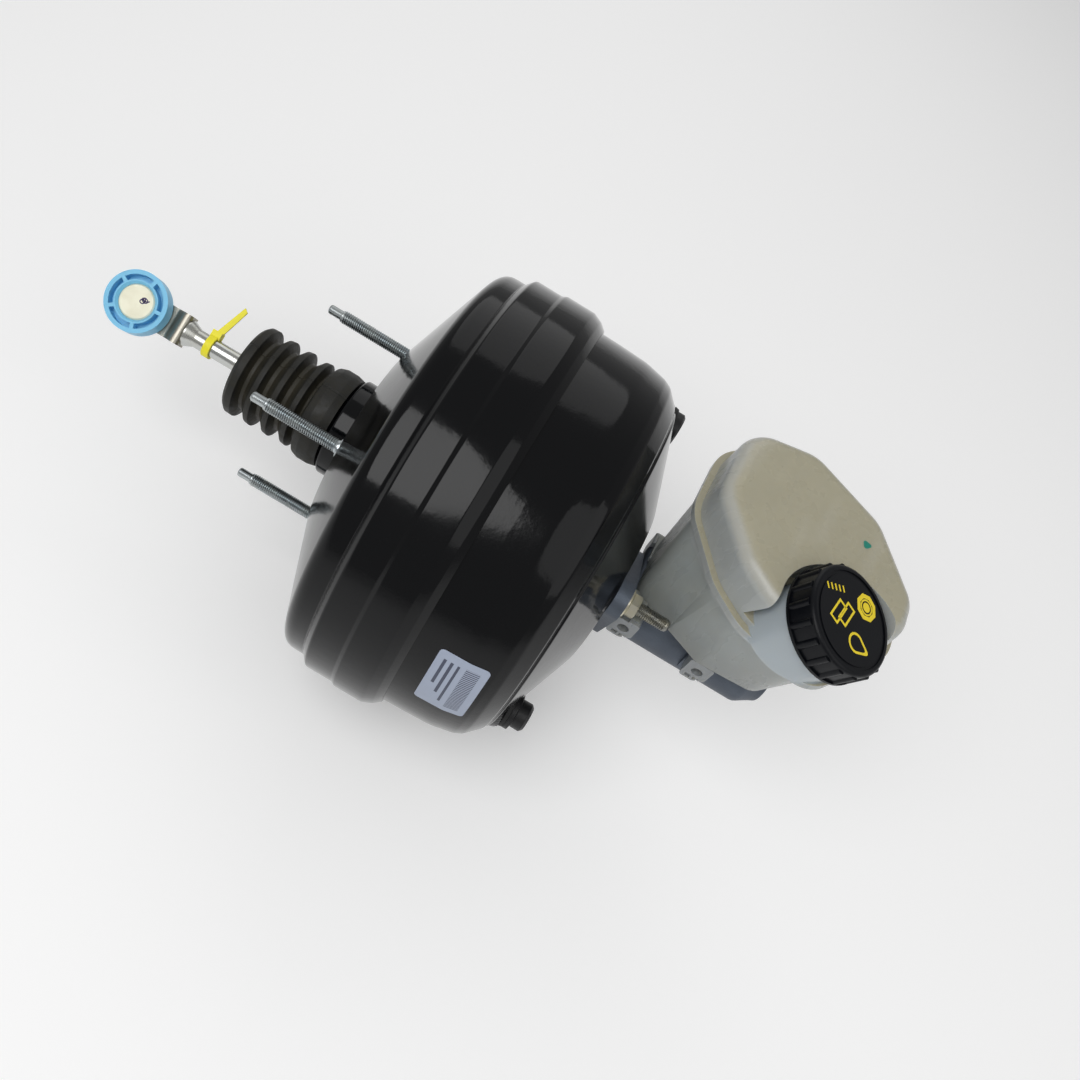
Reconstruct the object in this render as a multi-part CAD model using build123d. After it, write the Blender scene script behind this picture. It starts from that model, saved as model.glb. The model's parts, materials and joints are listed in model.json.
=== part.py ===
from build123d import *
import os
from math import atan2, cos, degrees, radians, sin

# Vacuum-assisted brake booster with its master cylinder and fluid reservoir.
# Millimetres. +X runs forward along the booster axis, from the bulkhead to the master cylinder.
# +Z is up. The origin is the centre of the four bulkhead studs, on the flat rear mounting face.

# Clearances
RUN = 0.05          # radial gap of a sliding or turning fit
SEAT = 0.15         # gap between pieces that are clamped or pressed together
FREE = 0.3          # gap between soft or loose pieces

# Vacuum shells
SHELL_WALL = 1.6
RIM_R = 130.4       # widest part
STEP_R = RIM_R - 1.4    # drum where the rear diaphragm bead is clamped
DRUM_R = RIM_R - 6.6    # first drum diameter behind the rear shoulder
FACE_R = 61.5       # flat rear face
SHOULDER_X = 24.4
STEP_X = 41.6
RIM_X = 60.5
LAP_X = 88.0        # front end of the rolled lap
FRONT_WALL_R = RIM_R - 7.3
FRONT_RING_R = RIM_R - 23.9
FRONT_RING_X = 146.6
MC_FACE_X = 167.0   # face that carries the master cylinder
MC_FACE_R = 52.0

# Neck
NECK_R = 30.5
NECK_STEP_X = -16.0
NECK_TIP_R = 26.0
NECK_TIP_X = -26.0

# Bulkhead studs, M8
STUD_R = 4.0
STUD_Y = 40.0
STUD_Z = 37.5
STUD_LENGTH = 54.7
KNURL_R = 4.4       # pressed part of the stud, inside the shell
PILOT_R = 2.8
PILOT_LENGTH = 8.0
STUD_HEAD_R = 7.5
STUD_HEAD_T = 4.0
STUD_PLATE_T = 2.5

# Master cylinder studs and nuts, M8
MC_STUD_Y = -28.0
MC_STUD_Z = 35.0
MC_STUD_END_X = 202.0
NUT_FLATS = 13.0
NUT_T = 7.0
MC_STUDS = [(MC_STUD_Y, MC_STUD_Z), (-MC_STUD_Y, -MC_STUD_Z)]

# Power pistons
STROKE = 32.0
TUBE_R = 21.0
TUBE_WALL = 4.0
HUB_R = 25.0
HUB_X = 27.0        # shoulder that the rear plate pushes on
HUB_END_X = 86.0
PLATE_T = 1.6
PLATE_R = RIM_R - 24.4
PLATE_LIP = 5.0
DIAPHRAGM_T = 1.8
FRONT_PLATE_X = 72.4
CENTRE_X = 63.5     # rear side of the dividing plate
CENTRE_WALL = 1.5
CENTRE_PAN_R = RIM_R - 14.4

# Reaction disc, output rod and control plunger
DISC_R = 13.8
DISC_T = 5.6
DISC_X = 76.2
OUTPUT_ROD_R = 6.0
PLUNGER_R = 7.9
PLUNGER_NECK_R = 4.5
PLUNGER_STROKE = 1.5
PLUNGER_X = 19.0
KEY_X = 40.0
KEY_T = 3.0
KEY_WIDTH = 12.0
SEAT_WALL_X = 18.0  # wall that the poppet valve closes against

# Push rod and pedal eye
BALL_X = 25.0
BALL_R = 5.6
ROD_R = 5.65
ROD_SHOULDER_X = -113.0
ROD_TENON_X = -124.5
EYE_X = -150.5
EYE_ROLL = 35.0     # roll of the eye about the rod
STRAP_W = 19.0
STRAP_T = 4.0
BUSH_R = 18.3
BUSH_T = 10.0
BUSH_BORE_R = 11.3
PIN_R = 10.4
BUSH_WEBS = 5

# Boot
BOOT_WALL = 2.0
BOOT_END_X = -81.5
BOOT_RIDGE_R = 28.0
BOOT_VALLEY_R = 21.8
BOOT_PITCH = 11.9
BOOT_RIDGES = 4
BOOT_BIG_R = 29.8

# Master cylinder
BARREL_R = 21.0
BARREL_END_X = 272.0
SPIGOT_R = 20.0
SPIGOT_X = 140.0
FLANGE_T = 8.0
BORE_R = 12.0
BORE_END_X = BARREL_END_X - 14.0
PORT_X = [205.0, 250.0]
PORT_BORE_R = 4.5
PORT_DEPTH = 14.0
PORT_FACE_Y = 36.0
FEED_X = [200.0, 245.0]
RAIL_Z = 24.0
PISTON_X = 146.0
PISTON_L = 40.0
SECOND_X = 213.0
SECOND_L = 23.0

# Reservoir
TANK_WALL = 2.5
TANK_Z = 27.0
SEAM_Z = 88.0
TANK_TOP_Z = 117.0
SEAM_LIP = 5.0
SEAM_T = 2.4
DECK_Z = 94.0
NIPPLE_R = 7.0
NIPPLE_BORE_R = 5.0
LUG_X = [182.5, 231.0]
LUG_PIN_Z = 18.0
LUG_Y = 32.5
LUG_T = 8.0
LUG_W = 14.6
LUG_HOLE_R = 3.5
PIN_BAR_R = 3.0
TOP_PLAN = [(182, 57), (222, 66), (268, 46), (297, 9), (297, -10), (266, -51), (224, -39), (206, -26), (181, 8)]
TOP_CORNERS = [20, 22, 25, 18, 18, 14, 30, 30, 25]
BASE_PLAN = [(178, 26), (215, 32), (250, 29), (281, 10), (284, -6), (262, -31), (226, -33), (204, -23.7), (178, -12.4)]
BASE_CORNERS = [8, 10, 10, 10, 10, 12, 10, 10, 8]

# Filler neck and cap; their axis leans forward
CAP_BASE = (258.5, -30.0, 108.0)
CAP_LEAN = 20.0
CAP_R = 28.2
CAP_RIB_R = 29.4
CAP_RIBS = 18
CAP_H = 16.0
CAP_WALL = 2.6
FILLER_R = 25.6
FILLER_WALL = 2.2
FILLER_H = 10.5
POCKET_R = 31.5

# Vacuum check valve and the plugged second port, on the front shell's cone
VALVE_DIR = (-0.815, -0.58)
VALVE_R = FRONT_RING_R - 14.5
VALVE_X = 153.0
VALVE_SEAT_R = 15.0
VALVE_HOLE_R = 9.0
PLUG_DIR = (0.815, 0.58)
PLUG_PITCH_R = FRONT_RING_R - 7.5
PLUG_X = 146.5
NIPPLE_HOSE_R = 4.8
NIPPLE_HOSE_L = 20.0

FROM_BASE = (Align.CENTER, Align.CENTER, Align.MIN)
NECK_AT = Pos(*CAP_BASE) * Rot(0, CAP_LEAN, 0)
EYE_AT = Pos(EYE_X, 0, 0) * Rot(EYE_ROLL, 0, 0)


def bar_x(radius, start, end, y=0.0, z=0.0):
    """Round bar along X."""
    return Pos(start, y, z) * Rot(0, 90, 0) * Cylinder(radius, end - start, align=FROM_BASE)


def bar_y(radius, start, end, x=0.0, z=0.0):
    """Round bar along Y."""
    return Pos(x, start, z) * Rot(-90, 0, 0) * Cylinder(radius, end - start, align=FROM_BASE)


def bar_z(radius, start, end, x=0.0, y=0.0):
    """Round bar along Z."""
    return Pos(x, y, start) * Cylinder(radius, end - start, align=FROM_BASE)


def ring_x(outer, inner, start, end, y=0.0, z=0.0):
    """Plain ring about an axis along X."""
    return bar_x(outer, start, end, y, z) - bar_x(inner, start - 1, end + 1, y, z)


def block(x0, x1, y0, y1, z0, z1):
    """Box from its low corner to its high corner."""
    return Pos(x0, y0, z0) * Box(x1 - x0, y1 - y0, z1 - z0, align=(Align.MIN, Align.MIN, Align.MIN))


def outline_face(points, corners=None):
    """Face inside a closed outline, with a radius at each corner."""
    if corners and max(corners) > 0:
        return make_face(FilletPolyline(*points, radius=corners, close=True))
    return make_face(Polyline(*points, close=True))


def turned(points, corners=None):
    """Solid turned about the X axis from (x, radius) points."""
    return revolve(outline_face(points, corners), axis=Axis.X)


def sheet_inside(path, corners, wall):
    """Inner side of a pressed sheet: the path moved to its right by the wall, with its radii."""
    points = [Vector(*p) for p in path]
    headings = [(b - a).normalized() for a, b in zip(points, points[1:])]
    rights = [Vector(h.Y, -h.X) for h in headings]
    inside = []
    radii = []
    for i, point in enumerate(points):
        before = rights[max(i - 1, 0)]
        after = rights[min(i, len(rights) - 1)]
        shift = (before + after) * (wall / (1 + before.dot(after)))
        inside.append((point.X + shift.X, point.Y + shift.Y))
        radii.append(0.0)
        if 0 < i < len(points) - 1:
            first = headings[i - 1]
            second = headings[i]
            turn = first.X * second.Y - first.Y * second.X
            radii[i] = max(corners[i] + (wall if turn > 0 else -wall), 0.0)
    return inside, radii


def pressed_sheet(path, corners, wall):
    """Thin pressed ring: the outer side is the path, the wall lies to its right."""
    inside, radii = sheet_inside(path, corners, wall)
    return turned(path + inside[::-1], corners + radii[::-1])


def coil(start, end, mean_r, wire_r, turns):
    """Helical spring about the X axis, between two planes that it touches with its wire."""
    height = end - start - 2 * wire_r
    line = Helix(height / turns, height, mean_r, center=(start + wire_r, 0, 0), direction=(1, 0, 0))
    section = Plane(origin=line @ 0, z_dir=line % 0) * Circle(wire_r)
    return sweep(section, path=line, is_frenet=True)


def rear_shell():
    """Rear vacuum shell, drawn in one piece with the neck and rolled over the front shell."""
    path = [
        (NECK_TIP_X, NECK_TIP_R),
        (NECK_STEP_X, NECK_TIP_R),
        (NECK_STEP_X + 1.6, NECK_R),
        (0, NECK_R),
        (0, FACE_R),
        (SHOULDER_X, DRUM_R),
        (STEP_X - 4.3, DRUM_R + 0.2),
        (STEP_X, STEP_R),
        (RIM_X - 2.5, STEP_R),
        (RIM_X, RIM_R),
        (LAP_X - 9.8, RIM_R),
        (LAP_X - 4.0, RIM_R - 2.5),
        (LAP_X, FRONT_WALL_R + 1.5),
    ]
    corners = [0, 0.6, 1.8, 1.0, 3.0, 9.0, 1.2, 2.2, 2.2, 2.0, 3.0, 3.0, 0]
    shell = pressed_sheet(path, corners, SHELL_WALL)
    for y in (-STUD_Y, STUD_Y):
        for z in (-STUD_Z, STUD_Z):
            shell -= bar_x(KNURL_R + SEAT, -1, SHELL_WALL + 1, y, z)
    return shell


def front_outline():
    """Outer side of the front shell, from its rim flange to the master cylinder face."""
    path = [
        (LAP_X - 5.4, FRONT_WALL_R + 3.0),
        (LAP_X - 5.4, FRONT_WALL_R),
        (LAP_X + 12.0, FRONT_WALL_R - 0.4),
        (118.0, FRONT_WALL_R - 1.1),
        (131.5, FRONT_WALL_R - 3.8),
        (136.4, FRONT_WALL_R - 6.1),
        (FRONT_RING_X - 2.4, FRONT_RING_R + 2.7),
        (FRONT_RING_X - 1.2, FRONT_RING_R),
        (FRONT_RING_X, FRONT_RING_R - 0.4),
        (MC_FACE_X, MC_FACE_R),
        (MC_FACE_X, 0),
    ]
    corners = [0, 0.4, 30.0, 30.0, 6.0, 6.0, 1.0, 1.0, 1.5, 4.0, 0]
    return path, corners


def front_seats():
    """Flat seats pressed into the front shell: (y, z, radius, x of the flat)."""
    seats = [(y, z, 12.5, MC_FACE_X) for y, z in MC_STUDS]
    seats.append((VALVE_DIR[0] * VALVE_R, VALVE_DIR[1] * VALVE_R, VALVE_SEAT_R, VALVE_X))
    seats.append((PLUG_DIR[0] * PLUG_PITCH_R, PLUG_DIR[1] * PLUG_PITCH_R, 12.5, PLUG_X))
    return seats


def front_shell():
    """Front vacuum shell with its rim flange and four pressed seats."""
    path, corners = front_outline()
    inside_path, inside_corners = sheet_inside(path, corners, SHELL_WALL)
    rim_x = inside_path[0][0]
    outside = turned([(rim_x, 0), inside_path[0]] + path, [0, 0] + corners)
    inside = turned(
        [(rim_x - 2, 0), (rim_x - 2, inside_path[1][1])] + inside_path[1:],
        [0, 0, 0] + inside_corners[2:],
    )
    for y, z, radius, flat_x in front_seats():
        outside -= bar_x(radius, flat_x, MC_FACE_X + 20, y, z)
        outside += bar_x(radius, 130, flat_x, y, z)
        inside -= bar_x(radius + SHELL_WALL, flat_x - SHELL_WALL, MC_FACE_X + 20, y, z)
        inside += bar_x(radius - SHELL_WALL, 120, flat_x - SHELL_WALL, y, z)
    shell = outside - inside
    shell -= bar_x(SPIGOT_R + 3.0, MC_FACE_X - 5, MC_FACE_X + 5)
    for y, z in MC_STUDS:
        shell -= bar_x(STUD_R + SEAT, MC_FACE_X - 5, MC_FACE_X + 5, y, z)
    for direction, pitch_r, flat_x in ((VALVE_DIR, VALVE_R, VALVE_X), (PLUG_DIR, PLUG_PITCH_R, PLUG_X)):
        y, z = direction[0] * pitch_r, direction[1] * pitch_r
        shell -= bar_x(VALVE_HOLE_R, flat_x - 5, flat_x + 5, y, z)
    return shell


def centre_plate():
    """Dividing plate: a pan whose folded rim is clamped between the two diaphragm beads."""
    fold_x = STEP_X + 4.4
    wall_r = STEP_R - SHELL_WALL - 0.5
    path = [
        (CENTRE_X, HUB_R + 6.5),
        (CENTRE_X, CENTRE_PAN_R),
        (fold_x, CENTRE_PAN_R + 2.5),
        (fold_x, wall_r),
        (LAP_X - 10.4, wall_r),
    ]
    return pressed_sheet(path, [0, 4.0, 1.0, 2.0, 0], CENTRE_WALL)


def stud_plate():
    """Backing plate behind the rear face that the bulkhead studs are pressed into."""
    start = SHELL_WALL + SEAT
    plate = ring_x(FACE_R - 1.0, NECK_R + 4, start, start + STUD_PLATE_T)
    for y in (-STUD_Y, STUD_Y):
        for z in (-STUD_Z, STUD_Z):
            plate -= bar_x(KNURL_R + SEAT, start - 1, start + STUD_PLATE_T + 1, y, z)
    return plate


def bulkhead_studs():
    """Four M8 studs with pilot tips, heads inside the shell."""
    head_x = SHELL_WALL + 2 * SEAT + STUD_PLATE_T
    stud = turned([
        (-STUD_LENGTH, 0),
        (-STUD_LENGTH, PILOT_R - 0.6),
        (-STUD_LENGTH + 0.6, PILOT_R),
        (-STUD_LENGTH + PILOT_LENGTH, PILOT_R),
        (-STUD_LENGTH + PILOT_LENGTH + 1.4, STUD_R),
        (0, STUD_R),
        (0, KNURL_R),
        (head_x, KNURL_R),
        (head_x, STUD_HEAD_R),
        (head_x + STUD_HEAD_T - 0.8, STUD_HEAD_R),
        (head_x + STUD_HEAD_T, STUD_HEAD_R - 0.8),
        (head_x + STUD_HEAD_T, 0),
    ])
    return [Pos(0, y, z) * stud for y in (-STUD_Y, STUD_Y) for z in (-STUD_Z, STUD_Z)]


def neck_bush():
    """Plastic guide bush of the valve body tube, in the mouth of the neck."""
    return ring_x(NECK_R - SHELL_WALL - SEAT, TUBE_R + RUN, -5.8, 4.0)


def neck_seal():
    """Lip seal behind the bush, with its hollow facing the outside air."""
    outer = NECK_R - SHELL_WALL - SEAT
    lip_r = TUBE_R + RUN
    return turned([
        (-6.0, lip_r),
        (-6.0, outer),
        (-13.0, outer),
        (-13.0, outer - 2.2),
        (-9.0, outer - 2.6),
        (-9.0, lip_r + 2.2),
        (-12.4, lip_r + 1.6),
        (-12.8, lip_r),
    ])


def centre_seal():
    """Seal ring that snaps into the dividing plate and rides on the valve body hub."""
    start = CENTRE_X - 2.3
    end = CENTRE_X + CENTRE_WALL + 2.6
    groove_r = HUB_R + 6.3
    rim_r = HUB_R + 9.0
    return turned([
        (start, HUB_R + RUN),
        (end, HUB_R + RUN),
        (end, rim_r - 1),
        (end - 1, rim_r),
        (CENTRE_X + CENTRE_WALL + 0.1, rim_r),
        (CENTRE_X + CENTRE_WALL + 0.1, groove_r),
        (CENTRE_X - 0.1, groove_r),
        (CENTRE_X - 0.1, rim_r),
        (start + 1, rim_r),
        (start, rim_r - 1),
    ])


def front_seal():
    """Ring seal between the master cylinder spigot and the front shell."""
    return ring_x(SPIGOT_R + 3.0 - SEAT, SPIGOT_R + SEAT, MC_FACE_X - 5.0, MC_FACE_X - SEAT)


def master_cylinder_studs():
    """Two M8 studs pressed into the front shell from inside."""
    head_x = MC_FACE_X - SHELL_WALL - SEAT
    stud = turned([
        (head_x - 3.5, 0),
        (head_x - 3.5, 7.0),
        (head_x, 7.0),
        (head_x, STUD_R),
        (MC_STUD_END_X - 1.4, STUD_R),
        (MC_STUD_END_X, STUD_R - 1.4),
        (MC_STUD_END_X, 0),
    ])
    return [Pos(0, y, z) * stud for y, z in MC_STUDS]


def master_cylinder_nuts():
    """Flanged hexagon nuts that clamp the master cylinder."""
    start = MC_FACE_X + FLANGE_T + SEAT
    corner_r = NUT_FLATS / 2 / cos(radians(30))
    hexagon = RegularPolygon(radius=corner_r, side_count=6)
    prism = extrude(Plane.YZ.offset(start) * hexagon, NUT_T)
    envelope = turned([
        (start, 0),
        (start, corner_r),
        (start + NUT_T - 1.0, corner_r),
        (start + NUT_T, corner_r - 1.2),
        (start + NUT_T, 0),
    ])
    washer = turned([
        (start, 0),
        (start, 8.6),
        (start + 1.2, 8.6),
        (start + 2.2, 6.6),
        (start + 2.2, 0),
    ])
    nut = (prism & envelope) + washer - bar_x(STUD_R + SEAT, start - 1, start + NUT_T + 1)
    return [Pos(0, y, z) * nut for y, z in MC_STUDS]


def flange_plan():
    """Master cylinder flange: a round centre with two ears at the studs."""
    edges = Circle(27.0).edges()
    for y, z in MC_STUDS:
        edges += (Pos(y, z) * Circle(12.0)).edges()
    return make_hull(edges)


def master_cylinder_body():
    """Cast body with spigot, flange, reservoir rails, feed bosses and two outlet bosses."""
    flange = extrude(Plane.YZ.offset(MC_FACE_X) * flange_plan(), FLANGE_T)
    end_x = MC_FACE_X + FLANGE_T
    barrel = turned(
        [
            (SPIGOT_X, 0),
            (SPIGOT_X, SPIGOT_R - 2),
            (SPIGOT_X + 2, SPIGOT_R),
            (MC_FACE_X + 1, SPIGOT_R),
            (end_x - 1, BARREL_R + 3),
            (end_x + 4, BARREL_R),
            (BARREL_END_X - 8, BARREL_R),
            (BARREL_END_X, BARREL_R - 5),
            (BARREL_END_X + 4, BARREL_R - 7),
            (BARREL_END_X + 4, 0),
        ],
        [0, 0, 0, 0, 2, 5, 6, 3, 2, 0],
    )
    body = barrel + flange
    for x in LUG_X:
        rail = block(x - 7.5, x + 7.5, -LUG_Y + LUG_T + 1.0, LUG_Y - LUG_T - 1.0, 0, RAIL_Z)
        body += fillet(rail.edges().filter_by(Axis.Y).group_by(Axis.Z)[-1], 4)
    body += block(LUG_X[0], FEED_X[1] + 14, -6, 6, 0, RAIL_Z - 2)
    for x in FEED_X:
        body += bar_z(14.5, 0, RAIL_Z + 1, x)
    for x in PORT_X:
        body += bar_y(10.5, 0, PORT_FACE_Y - 1.5, x)
        body += bar_y(9.0, PORT_FACE_Y - 1.6, PORT_FACE_Y, x)
    body -= bar_x(BORE_R, SPIGOT_X - 1, BORE_END_X)
    body -= bar_x(BORE_R + 1.2, SPIGOT_X + 3.0, SPIGOT_X + 4.8)
    for x in FEED_X:
        body -= bar_z(11.0, 15.5, RAIL_Z + 2, x)
        body -= bar_z(1.5, 0, 16, x)
    for x in PORT_X:
        body -= bar_y(PORT_BORE_R, PORT_FACE_Y - PORT_DEPTH, PORT_FACE_Y + 1, x)
        body -= bar_y(2.0, 0, PORT_FACE_Y - PORT_DEPTH + 1, x)
    for x in LUG_X:
        body -= bar_y(PIN_BAR_R + 0.1, -60, 60, x, LUG_PIN_Z)
    for y, z in MC_STUDS:
        body -= bar_x(STUD_R + 0.4, MC_FACE_X - 1, end_x + 8, y, z)
        body -= bar_x(10.0, end_x, end_x + 12, y, z)
    return body


def piston_stop_ring():
    """Snap ring in the mouth of the bore, behind the primary piston."""
    start = SPIGOT_X + 3.1
    return ring_x(BORE_R + 1.0, BORE_R - 4.0, start, start + 1.6)


def primary_piston():
    """Rear piston, with a socket for the output rod and a spring seat in front."""
    end = PISTON_X + PISTON_L
    r = BORE_R - RUN
    return turned([
        (PISTON_X, OUTPUT_ROD_R + 0.5),
        (PISTON_X, r - 1),
        (PISTON_X + 1, r),
        (PISTON_X + 8, r),
        (PISTON_X + 8, r - 3.5),
        (PISTON_X + 13, r - 3.5),
        (PISTON_X + 13, r),
        (end - 9, r),
        (end - 9, r - 3.5),
        (end - 4, r - 3.5),
        (end - 4, r - 0.5),
        (end, r - 1.5),
        (end, 4.0),
        (end - 12, 4.0),
        (end - 12, 0),
        (PISTON_X + 14, 0),
        (PISTON_X + 13.6, OUTPUT_ROD_R + 0.5),
    ])


def primary_cups():
    """Two rubber cups in the grooves of the primary piston."""
    r = BORE_R - RUN
    end = PISTON_X + PISTON_L
    rear = ring_x(r, r - 3.4, PISTON_X + 8.2, PISTON_X + 12.6)
    front = ring_x(r, r - 3.4, end - 8.8, end - 4.4)
    return [rear, front]


def secondary_piston():
    """Floating front piston."""
    end = SECOND_X + SECOND_L
    r = BORE_R - RUN
    return turned([
        (SECOND_X, 0),
        (SECOND_X, r - 1.5),
        (SECOND_X + 4, r - 0.5),
        (SECOND_X + 4, r - 3.5),
        (SECOND_X + 8, r - 3.5),
        (SECOND_X + 8, r),
        (end - 8, r),
        (end - 8, r - 3.5),
        (end - 4, r - 3.5),
        (end - 4, r - 0.5),
        (end, r - 1.5),
        (end, 4.0),
        (end - 10, 4.0),
        (end - 10, 0),
    ])


def secondary_cups():
    """Two rubber cups in the grooves of the secondary piston."""
    r = BORE_R - RUN
    end = SECOND_X + SECOND_L
    rear = ring_x(r, r - 3.4, SECOND_X + 4.2, SECOND_X + 7.6)
    front = ring_x(r, r - 3.4, end - 7.8, end - 4.4)
    return [rear, front]


def primary_spring():
    """Spring between the two pistons."""
    return coil(PISTON_X + PISTON_L + SEAT, SECOND_X - SEAT, 7.6, 1.1, 4)


def secondary_spring():
    """Spring between the floating piston and the end of the bore."""
    return coil(SECOND_X + SECOND_L + SEAT, BORE_END_X - SEAT, 7.6, 1.1, 4)


def valve_body():
    """Moulded valve body: rear tube, hub, reaction disc pocket, plunger bore and key slot."""
    bore = TUBE_R - TUBE_WALL
    body = turned(
        [
            (NECK_TIP_X, bore),
            (NECK_TIP_X, TUBE_R - 0.8),
            (NECK_TIP_X + 0.8, TUBE_R),
            (HUB_X, TUBE_R),
            (HUB_X, HUB_R),
            (HUB_END_X, HUB_R),
            (HUB_END_X, DISC_R + 0.3),
            (DISC_X - SEAT, DISC_R + 0.3),
            (DISC_X - SEAT, PLUNGER_R + RUN),
            (SEAT_WALL_X, PLUNGER_R + RUN),
            (SEAT_WALL_X, bore - 4.2),
            (SEAT_WALL_X - 1.2, bore - 3.4),
            (SEAT_WALL_X, bore - 2.6),
            (SEAT_WALL_X, bore),
        ]
    )
    body -= block(KEY_X - 0.2, KEY_X + KEY_T + 0.2, -HUB_R - 1, 12.2, -KEY_WIDTH / 2 - 0.2, KEY_WIDTH / 2 + 0.2)
    for angle in (60, 120, 240, 300):
        y, z = 18.5 * cos(radians(angle)), 18.5 * sin(radians(angle))
        body -= bar_x(2.6, HUB_X + 6, HUB_END_X + 1, y, z)
        body -= bar_x(2.2, SEAT_WALL_X - 1, HUB_X + 7, 13.4 * cos(radians(angle)), 13.4 * sin(radians(angle)))
    return body


def rear_plate():
    """Pressed support plate of the rear diaphragm."""
    start = HUB_X - SEAT - PLATE_T
    path = [(start, TUBE_R + SEAT), (start, PLATE_R), (start + PLATE_LIP, PLATE_R + 0.34 * PLATE_LIP)]
    return pressed_sheet(path, [0, 2.0, 0], PLATE_T)


def front_plate():
    """Pressed support plate of the front diaphragm."""
    path = [
        (FRONT_PLATE_X, HUB_R + SEAT),
        (FRONT_PLATE_X, PLATE_R),
        (FRONT_PLATE_X + PLATE_LIP, PLATE_R + 0.34 * PLATE_LIP),
    ]
    return pressed_sheet(path, [0, 2.0, 0], PLATE_T)


def diaphragm(web_x, bore_r, bead_x, roll):
    """Rolling diaphragm: inner bead, flat web behind its plate, a roll and an outer bead."""
    path = [(web_x, bore_r), (web_x, PLATE_R + 1.8)] + roll
    corners = [0.0] + [2.2] * len(roll) + [0.0]
    web = pressed_sheet(path, corners, DIAPHRAGM_T)
    tip_x, tip_r = roll[-1]
    outer = STEP_R - SHELL_WALL - FREE
    bead = ring_x(outer, tip_r - 1.0, bead_x, bead_x + 3.0)
    return web + bead


def rear_diaphragm():
    """Rear diaphragm, its bead clamped between the rear shell's step and the dividing plate."""
    web_x = HUB_X - 2 * SEAT - PLATE_T - DIAPHRAGM_T
    bead_x = STEP_X + 1.3
    roll = [(web_x + 10.8, PLATE_R + 6.4), (bead_x + 1.0, CENTRE_PAN_R + 5.0)]
    return diaphragm(web_x, TUBE_R + SEAT, bead_x, roll)


def front_diaphragm():
    """Front diaphragm, its bead clamped between the dividing plate and the front shell."""
    web_x = FRONT_PLATE_X - SEAT - DIAPHRAGM_T
    bead_x = LAP_X - 10.2
    roll = [
        (web_x + 11.2, PLATE_R + 6.0),
        (web_x + 14.5, PLATE_R + 9.5),
        (bead_x + 0.6, CENTRE_PAN_R + 3.2),
    ]
    return diaphragm(web_x, HUB_R + SEAT, bead_x, roll)


def plate_retainer():
    """Press-on ring that holds the front plate on the hub, with locking teeth."""
    start = FRONT_PLATE_X + PLATE_T + SEAT
    ring = ring_x(HUB_R + 5.0, HUB_R + SEAT, start, start + 1.8)
    for k in range(12):
        notch = block(start - 1, start + 3, HUB_R + 2.2, HUB_R + 8, -1.2, 1.2)
        ring -= Rot(30 * k, 0, 0) * notch
    return ring


def return_spring():
    """Main return spring, from the front plate to the front shell."""
    return coil(FRONT_PLATE_X + PLATE_T + SEAT, MC_FACE_X - SHELL_WALL - SEAT, 34.0, 2.0, 5)


def reaction_disc():
    """Rubber reaction disc in the hub's pocket."""
    return bar_x(DISC_R, DISC_X, DISC_X + DISC_T)


def output_rod():
    """Output rod with a wide foot on the reaction disc and a domed tip."""
    foot_x = DISC_X + DISC_T + SEAT
    tip_x = PISTON_X + 13.2
    return turned([
        (foot_x, 0),
        (foot_x, DISC_R),
        (foot_x + 4, DISC_R),
        (foot_x + 9, OUTPUT_ROD_R + 1),
        (foot_x + 12, OUTPUT_ROD_R),
        (tip_x - 3, OUTPUT_ROD_R),
        (tip_x, 2.5),
        (tip_x, 0),
    ])


def valve_key():
    """Cross key that limits the plunger: a flat fork through the hub's slot."""
    key = block(KEY_X, KEY_X + KEY_T, -HUB_R + 1.2, 12, -KEY_WIDTH / 2, KEY_WIDTH / 2)
    gap = PLUNGER_NECK_R + FREE
    return key - block(KEY_X - 1, KEY_X + KEY_T + 1, 0, 13, -gap, gap) - bar_x(gap, KEY_X - 1, KEY_X + KEY_T + 1)


def control_plunger():
    """Control plunger: ball socket behind, neck for the key, face on the reaction disc."""
    neck_x = KEY_X - PLUNGER_STROKE - 0.2
    end_x = DISC_X - SEAT - PLUNGER_STROKE - 0.4
    socket = BALL_R + RUN
    plunger = turned([
        (PLUNGER_X, 0),
        (PLUNGER_X, PLUNGER_R - 0.6),
        (PLUNGER_X + 0.6, PLUNGER_R),
        (neck_x, PLUNGER_R),
        (neck_x, PLUNGER_NECK_R),
        (KEY_X + KEY_T + 0.3, PLUNGER_NECK_R),
        (KEY_X + KEY_T + 0.3, PLUNGER_R),
        (end_x, PLUNGER_R),
        (end_x, 0),
    ])
    plunger -= Pos(BALL_X, 0, 0) * Sphere(socket)
    mouth = turned([
        (PLUNGER_X - 1, 0),
        (PLUNGER_X - 1, socket + 1.6),
        (BALL_X - 3.4, socket - 1.2),
        (BALL_X, socket - 1.2),
        (BALL_X, 0),
    ])
    return plunger - mouth


def poppet_valve():
    """Rubber poppet valve that closes against the seat wall."""
    bore = TUBE_R - TUBE_WALL
    return turned([
        (SEAT_WALL_X - 4.2, bore - 5.5),
        (SEAT_WALL_X - 1.4, bore - 5.5),
        (SEAT_WALL_X - 1.4, bore - 1.6),
        (SEAT_WALL_X - 6.0, bore - 2.4),
        (SEAT_WALL_X - 10.0, bore - 3.0),
        (SEAT_WALL_X - 10.0, bore - SEAT),
        (SEAT_WALL_X - 12.0, bore - SEAT),
        (SEAT_WALL_X - 12.0, bore - 5.0),
        (SEAT_WALL_X - 4.2, bore - 4.2),
    ])


def poppet_retainer():
    """Steel cup that holds the poppet valve and carries the push rod spring."""
    bore = TUBE_R - TUBE_WALL
    end = SEAT_WALL_X - 12.0 - SEAT
    return turned([
        (end, bore - SEAT),
        (end, bore - 6.5),
        (end - 1.2, bore - 6.5),
        (end - 1.2, bore - 1.4),
        (end - 7.0, bore - 1.4),
        (end - 7.0, bore - SEAT),
    ])


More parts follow.
